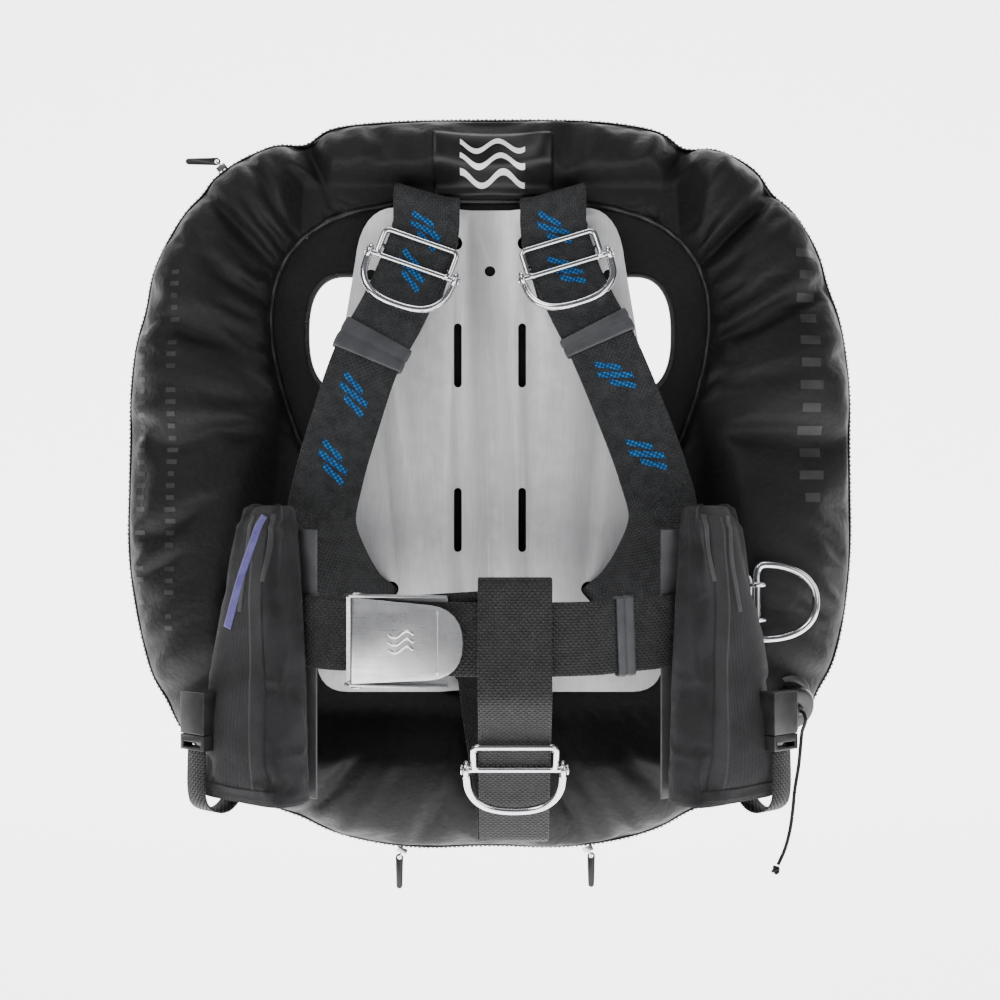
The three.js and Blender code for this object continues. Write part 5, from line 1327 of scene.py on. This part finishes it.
@dataclass
class Harness:
    """Straps, belt, buckle, rings and keepers on the plate."""

    def build(self) -> None:
        """Makes every piece of the harness."""
        self._plate()
        for name in ("left", "right"):
            path = shoulder_path(name)
            dress(path.ribbon(f"shoulder_web_{name}"), "webbing", nodes=(f"shoulder_strap_{name}",))
            marks = path.marks(f"shoulder_marks_{name}", (16.6, 18.75, 21.62, 22.75))
            dress(marks, "mark")
            RingSet(f"shoulder_{name}", f"shoulder_slide_{name}", f"shoulder_ring_{name}").build()
            self._keeper(path, f"shoulder_keeper_{name}", (20.6, 21.1) if name == "left" else (20.5, 21.0))
            LOG.info("shoulder strap %s is %.0f mm long", name, path.length())
        for name in ("right", "left"):
            path = belt_path(name)
            dress(path.ribbon(f"belt_web_{name}"), "belt", nodes=(f"belt_{name}",))
            LOG.info("belt %s is %.0f mm long", name, path.length())
            if name == "left":
                self._keeper(path, "belt_keeper", (14.0, 14.55))
        crotch = crotch_path()
        dress(crotch.ribbon("crotch_web"), "belt", nodes=("crotch_strap",))
        LOG.info("crotch strap is %.0f mm long", crotch.length())
        RingSet("crotch", "crotch_slide", "crotch_ring").build()
        self._hip_ring()
        self._buckle()

    def _plate(self) -> None:
        keep_shape("backplate", 0.7, "plate")
        for name in ("upper", "lower"):
            keep_shape(f"bolt_grommet_{name}", 0.2, "steel")

    def _keeper(self, path: StrapPath, node: str, span: tuple[float, float]) -> None:
        """A moulded double band round the strap, with a groove round its middle."""
        u = np.linspace(*span, 15)
        origin, across, _, out = path.at(u)
        inner, wall = WEB_THICK / 2 + 0.5, 2.0
        share = np.linspace(-1, 1, 15)
        swell = 1 - np.exp(-((share / 0.16) ** 2)) * 0.5 - np.abs(share) ** 8 * 0.35
        corners = rounded_loop(WEB_WIDTH / 2 + 0.5 + wall, inner + wall, 2.2, 0)[:, :2]
        outer = [corners - np.sign(corners) * (wall * (1 - s) * 0.7) for s in swell]
        hole = rounded_loop(WEB_WIDTH / 2 + 0.5, inner, 0.6, 0)[:, :2]
        order = np.concatenate([np.arange(15), np.arange(15)[::-1]])
        section = np.array(outer + [hole] * 15)
        points = origin[order][:, None] + section[..., :1] * across[order][:, None] + section[..., 1:] * out[order][:, None]
        uv = np.stack(np.meshgrid(np.linspace(0, 0.12, 41), np.linspace(0, 0.06, 31)), -1)
        dress(grid_mesh(f"{node}_band", points, uv, (True, True)), "keeper", nodes=(node,))

    def _hip_ring(self) -> None:
        place = FRAMES["hip_slide"]
        inset = WEB_THICK / 2 + 0.3 + ROD_R + 0.4
        reach = WEB_WIDTH / 2 + 0.3 + ROD_R + 0.4
        parts = [tube("loop", place.place(rounded_loop(inset, reach, inset - 0.3, 0)), ROD_R, 14, True)]
        knuckle = RING_WIRE_R + 0.5 + EYE_WIRE_R
        for offset in (-13, 13):
            t = turn(32)
            local = np.stack(
                [9.45 + knuckle * np.cos(t), np.full(32, 9.0 + offset), knuckle * np.sin(t)], 1,
            )
            parts.append(tube("knuckle", place.place(local), EYE_WIRE_R, 12, True))
        dress(joined(parts, "hip_slide_wire"), "steel", nodes=("hip_slide",))
        place = FRAMES["hip_ring"]
        half, depth = 28.0, 44.0
        points = [
            (0, -half + 6, 0), (0, -half / 3, 0), (0, half / 3, 0), (0, half - 6, 0), (2.5, half - 1.2, 0),
        ]
        for i in range(1, 14):
            a = math.pi * (0.5 - i / 14)
            points.append(
                (depth * math.cos(a) ** 0.8, half * float(power(np.array(math.sin(a)), np.array(0.9))), 0)
            )
        points.append((2.5, 1.2 - half, 0))
        dress(
            tube("hip_ring_wire", place.place(resampled(points, 150, True)), RING_WIRE_R, 18, True),
            "steel", "hip_ring_body", ("hip_ring",),
        )

    def _buckle(self) -> None:
        """The cam buckle, with a raised wave on its lever and a bend line near the lever's tip."""
        keep_shape("buckle_frame", 0.35, "buckle")
        keep_shape("buckle_pin", 0.3, "steel")
        keep_shape("buckle_lever", 0.45, "buckle", "buckle_lever_body")
        place = FRAMES["buckle_lever"]
        face = 4.1
        parts = []
        for row in (-1, 0, 1):
            s = np.linspace(-1, 1, 40)
            path = np.stack([34 + 9 * s, row * 5.2 + 2.4 * np.sin(math.pi * s), np.full(40, face + 0.1)], 1)
            parts.append(tube("wave", place.place(path), 1.05, 8))
        line = np.stack([np.full(20, 60.0), np.linspace(-22, 22, 20), np.full(20, face - 0.15)], 1)
        parts.append(tube("bend", place.place(line), 0.7, 8))
        dress(joined(parts, "buckle_lever_relief"), "buckle", "buckle_lever_body")


# ---------------------------------------------------------------- pockets
@dataclass
class BallastPocket:
    """A padded sleeve on the belt that holds a ballast pouch behind a release buckle."""

    name: str
    seed: int

    @property
    def place(self) -> Frame:
        """The pocket's frame: x towards the wearer's left, y up, z out from the belt."""
        return FRAMES[f"pocket_{self.name}"]

    def section(self, y: Array) -> tuple[Array, Array]:
        """Half width and thickness at heights y."""
        table = np.array(POCKET_SECTIONS[::-1], float)
        return np.interp(y, table[:, 0], table[:, 1]), np.interp(y, table[:, 0], table[:, 2])

    def shape(
        self, inset: float, top: float, bottom: float, folds: float, count: int = 64, around: int = 72,
    ) -> tuple[Array, Array]:
        """Rounded-box rings from the top down, gathered at the top and creased down its sides.

        The outline at each height is a superellipse of power 5; the gathers are sines round it
        that fade 60 mm below the top, and the creases are slanted sines.
        """
        y = np.linspace(top, bottom, count)
        half, thick = self.section(y)
        t = turn(around)
        cos, sin = power(np.cos(t), np.array(0.42)), power(np.sin(t), np.array(0.5))
        depth = (top - y)[:, None]
        gather = folds * (
            np.exp(-depth / 60) * 2.4 * np.sin(9 * t + self.seed + depth / 40) + 1.7 * np.sin(
                2 * t + depth / 15 + self.seed
            ) * np.sin(t) ** 2
        )
        puff = folds * 0.8 * np.sin(math.pi * np.clip(depth / (top - bottom), 0, 1))
        near = np.clip(np.sin(t), 0, 1)
        x = cos * (half[:, None] - inset) + np.cos(t) * gather * 0.25
        z = thick[:, None] / 2 + sin * (thick[:, None] / 2 - inset) + near * (gather * 0.7 + puff)
        points = np.stack([x, np.repeat(y[:, None], around, 1), z], -1)
        length = np.linspace(0, (top - bottom), count) * MM
        girth = np.linspace(0, 0.22, around + 1)
        return points, np.stack(np.meshgrid(girth, length), -1)

    def build(self) -> None:
        """Makes the sleeve, its trims, the pouch, the release buckle and the handle."""
        points, uv = self.shape(0.8, -43, -249, 1.0)
        sleeve = grid_mesh(
            f"pocket_sleeve_cloth_{self.name}", self.place.place(points), uv, (False, True), caps=True,
        )
        local = points.reshape(-1, 3)
        pinned = (local[:, 1] < -243) | (local[:, 2] < 4) | (local[:, 1] > -46)
        pinned = np.append(pinned, [True, True])
        inflate(sleeve, pinned, pressure=3.0, grow=0.03, cap=3.2)
        self._open_bottom(sleeve, len(local) + 1)
        refine(sleeve)
        tree = surface_tree(sleeve)
        wall = sleeve.modifiers.new("wall", "SOLIDIFY")
        wall.thickness = 1.4 * MM
        wall.offset = -1
        dress(sleeve, "pocket", nodes=(f"pocket_sleeve_{self.name}",))
        body = f"pouch_{self.name}_body"
        points, uv = self.shape(3.6, -56, -251, 0.25, 50, 60)
        pouch = grid_mesh(
            f"ballast_pouch_cloth_{self.name}", self.place.place(points), uv, (False, True), caps=True,
        )
        dress(pouch, "pocket", body, (f"ballast_pouch_{self.name}",))
        self._trims(tree)
        keep_shape(f"pocket_backing_{self.name}", 0.4, "backing")
        keep_shape(f"release_socket_{self.name}", 0.6, "plastic")
        keep_shape(f"release_plug_{self.name}", 0.5, "plastic", body)
        self._handle(body)

    def _open_bottom(self, sleeve: Object, middle: int) -> None:
        bm = bmesh.new()
        bm.from_mesh(sleeve.data)
        bm.verts.ensure_lookup_table()
        bmesh.ops.delete(bm, geom=[bm.verts[middle]], context="VERTS")
        bm.to_mesh(sleeve.data)
        bm.free()

    def _laid_strip(
        self, name: str, tree: BVHTree, line: Sequence[tuple[float, float]], width: float, lift: float,
    ) -> Object:
        """A strip laid on the pocket's face along a line of (x, y)."""
        path = resampled([(x, y, 0) for x, y in line], 60)
        s = np.linspace(-width / 2, width / 2, 7)
        tangent = unit(np.gradient(path, axis=0))
        side = np.stack([-tangent[:, 1], tangent[:, 0], np.zeros(len(path))], 1)
        local = path[:, None] + side[:, None] * s[None, :, None]
        local[..., 2] = 90
        points = laid_on(tree, self.place.place(local), -np.array(self.place.z), lift)
        length = np.linspace(0, spans(path).sum(), 60) * MM
        strip = grid_mesh(name, points, np.stack(np.meshgrid((s + width) * MM, length), -1))
        strip.modifiers.new("thickness", "SOLIDIFY").thickness = 0.6 * MM
        return strip

    def _trims(self, tree: BVHTree) -> None:
        """The front band, painted highlight strips on the gathered folds near the top, the hem, and on the
        right the label.
        """
        inner = -1 if self.name == "left" else 1
        band = self._laid_strip(
            f"pocket_band_{self.name}", tree,
            ((inner * 4, -50), (inner * 12, -120), (inner * 24, -190), (inner * 28, -244)), 15, 0.35,
        )
        dress(band, "pocket")
        # Pale strips along the top gathers: painted highlights where the folds catch the light.
        for k, (x, top, low) in enumerate(((inner * -9, -50, -118), (inner * 13, -49, -96))):
            fold = self._laid_strip(
                f"pocket_fold_{self.name}_{k}", tree,
                ((x, top), (x + inner * 4, (top + low) / 2), (x + inner * 3, low)), 4.2, 0.5,
            )
            dress(fold, "fold")
        hem = self._laid_strip(
            f"pocket_hem_{self.name}", tree, ((-40, -243), (0, -244), (40, -243)), 8, 0.55,
        )
        dress(hem, "pocket")
        if self.name == "right":
            label = self._laid_strip(
                "pocket_label_strip", tree, ((4, -50), (1.3, -60), (-12, -108), (-18, -130)), 8, 0.6,
            )
            dress(label, "label", nodes=("pocket_label",))

    def _handle(self, body: str) -> None:
        """The webbing loop that runs from the release plug under the pouch."""
        rear = 1 if self.name == "left" else -1
        x, middle, low = rear * 33, 45.3, -252.7
        points = (
            (x, -216.8, middle), (x, low + 6, middle), (x, low - 3, middle - 3), (x, low - 9, middle - 13),
            (x, low - 9, middle - 22), (x, low - 5, middle - 29), (
                x, low - 0.4, middle - 33,
            ), (x, low, middle - 38),
        )
        local = resampled(points, 90)
        path = self.place.place(local)
        across = np.tile(self.place.x, (len(path), 1))
        out = np.cross(unit(np.gradient(path, axis=0)), across)
        section = np.array(
            [(-9.3, -0.8), (9.3, -0.8), (9.5, 0), (9.3, 0.8), (0, 0.85), (-9.3, 0.8), (-9.5, 0)]
        )
        dress(
            sweep(f"pouch_handle_web_{self.name}", path, section, across, unit(out)), "belt", body,
            (f"pouch_handle_{self.name}",),
        )


# ---------------------------------------------------------------- valve, port, zip fittings
@dataclass
class Fittings:
    """Dump valve with its cord, the inflator port, and the zip's sliders and pulls."""

    def cord(self) -> None:
        """The pull cord and its knot. The route repeats the CAD cord's."""
        place = FRAMES["dump_valve"]
        z = np.array(place.z)
        leave = np.array(place.origin) + z * 20.1
        route = [leave, leave + z * 3, leave + z * 5.5 - (0, 0, 4), *np.array(DUMP_CORD_ROUTE, float)]
        path = resampled(route, 160)
        cord = tube("pull_cord", path, 1.4, 12)
        dress(cord, "cord", "dump_pull_body", ("dump_cord",))
        end, down = path[-1], unit(path[-1] - path[-2])
        side = unit(np.cross(down, (0.0, 1.0, 0.0)))
        t = turn(60)
        radius = 1.7 + 0.35 * np.cos(3 * t)
        loop = end + down * 4.4 + np.outer(
            radius * np.cos(2 * t), side,
        ) + np.outer(1.9 * np.sin(3 * t), down)
        loop += np.outer(radius * np.sin(2 * t), np.cross(down, side))
        knot = tube("pull_cord_knot", loop, 1.25, 10, True)
        dress(knot, "cord", "dump_pull_body", ("dump_cord_knot",))

    def build(self) -> None:
        """Makes the turned pieces, the spring and the zip fittings."""
        place = FRAMES["dump_valve"]
        base = ((11, 0), (22, 0), (22, 2), (18, 3.2), (14, 3.2), (14, 9), (11, 9))
        dress(lathe("valve_base", base, place, 96), "plastic", nodes=("dump_valve_base",))
        cap = ((14.3, 3.6), (16.9, 3.6), (16.9, 13), (14.3, 16.5), (2.7, 16.5), (2.7, 14.5), (14.3, 14.5))
        dress(lathe("valve_cap", cap, place, 144, (4, 13, 0.8, 24)), "plastic", nodes=("dump_valve_cap",))
        poppet = (
            (0.01, 1), (10.4, 1), (10.4, 3), (2.2, 3), (2.2, 16.8), (3.8, 16.8), (3.8, 19.2), (0.01, 19.8),
        )
        dress(lathe("valve_poppet", poppet, place, 48), "plastic", "dump_pull_body", ("dump_valve_poppet",))
        t = np.linspace(0, 1, 200)
        coil = np.stack([7 * np.cos(6 * math.pi * t), 7 * np.sin(6 * math.pi * t), 4 + 9.5 * t], 1)
        spring = dress(
            tube("valve_spring", place.place(coil), 0.7, 10), "spring", nodes=("dump_valve_spring",),
        )
        seat = (place.place(np.array([(0.0, 0.0, 14.2)]))[0] * MM).tolist()
        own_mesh(spring)
        port = ((6, 0), (17, 0), (17, 2.4), (11, 3.4), (11, 13), (6, 13))
        dress(
            lathe("inflator_port_turned", port, FRAMES["inflator_port"], 96, (5, 12, 0.5, 30)), "plastic",
            nodes=("inflator_port",),
        )
        for name in ("top", "lower_right", "lower_left"):
            keep_shape(f"zip_slider_{name}", 0.3, "steel")
            keep_shape(f"zip_pull_{name}", 0.25, "plastic", f"zip_pull_{name}_body")


# ---------------------------------------------------------------- studio
# Camera in mm of focal length and sensor, its place in metres; glow of the sweep and the world.
LENS, SENSOR, CAMERA_PLACE = 57.3, 36.0, (0.0078, -1.25, -0.039)
SWEEP_GLOW, WORLD_GLOW = 3.2, 0.16
# Area lights: name, place and size in metres, watts.
LIGHTS = (
    ("key", (-1.3, -1.6, 1.5), 1.2, 34), ("fill", (1.6, -1.3, 0.5), 1.5, 16),
    ("top", (0.1, 0.3, 2.1), 1.2, 26), ("rim", (0.5, 1.3, 0.9), 1.0, 14),
)


class Studio:
    """Camera, pale sweep and soft lights."""

    def camera(self) -> None:
        """The photo's view: level, from the wearer's front."""
        data = bpy.data.cameras.new("camera")
        data.lens, data.sensor_width = LENS, SENSOR
        data.clip_start, data.clip_end = 0.05, 50
        camera = linked("camera", data)
        camera.location = CAMERA_PLACE
        camera.rotation_euler = (math.pi / 2, 0, 0)
        bpy.context.scene.camera = camera

    def stage(self) -> None:
        """A floor that curves up into a backdrop, and the lights."""
        t = np.linspace(0, math.pi / 2, 24)
        profile = [(-5000.0, -1500.0), (1500.0, -1500.0)]
        profile += [
            (1500 + 900 * math.sin(a), -600 - 900 * math.cos(a)) for a in t[1:]
        ] + [(2400.0, 4500.0)]
        rows = np.array(profile)
        points = np.stack(
            [
                np.stack(
                    [np.full(len(rows), x), rows[:, 0], rows[:, 1]], -1,
                ) for x in np.linspace(-5000, 5000, 5)
            ], 1
        )
        sweep_floor = grid_mesh("studio_sweep", points, np.zeros((*points.shape[:2], 2)))
        material = bpy.data.materials.new("studio_white")
        material.use_nodes = True
        shader = material.node_tree.nodes["Principled BSDF"]
        shader.inputs["Base Color"].default_value = (0.9, 0.9, 0.9, 1)
        shader.inputs["Roughness"].default_value = 0.9
        shader.inputs["Emission Color"].default_value = (1, 1, 1, 1)
        shader.inputs["Emission Strength"].default_value = SWEEP_GLOW
        sweep_floor.data.materials.append(material)
        world = bpy.data.worlds.new("studio")
        bpy.context.scene.world = world
        world.use_nodes = True
        world.node_tree.nodes["Background"].inputs["Color"].default_value = (0.93, 0.95, 1, 1)
        world.node_tree.nodes["Background"].inputs["Strength"].default_value = WORLD_GLOW
        for light in LIGHTS:
            self._light(*light)

    def _light(self, name: str, place: tuple[float, float, float], size: float, watts: float) -> None:
        data = bpy.data.lights.new(name, "AREA")
        data.size, data.energy = size, watts
        light = linked(name, data)
        light.location = place
        light.rotation_euler = (-Vector(place)).to_track_quat("-Z", "Y").to_euler()


def main() -> None:
    """Builds every sub-assembly round the frame."""
    logging.basicConfig(level=logging.INFO)
    studio = Studio()
    studio.camera()
    fittings = Fittings()
    fittings.cord()
    AirCell().build()
    CentrePanel().build()
    Harness().build()
    for seed, name in enumerate(("left", "right")):
        BallastPocket(name, seed).build()
    fittings.build()
    studio.stage()


if __name__ == "__main__":
    main()
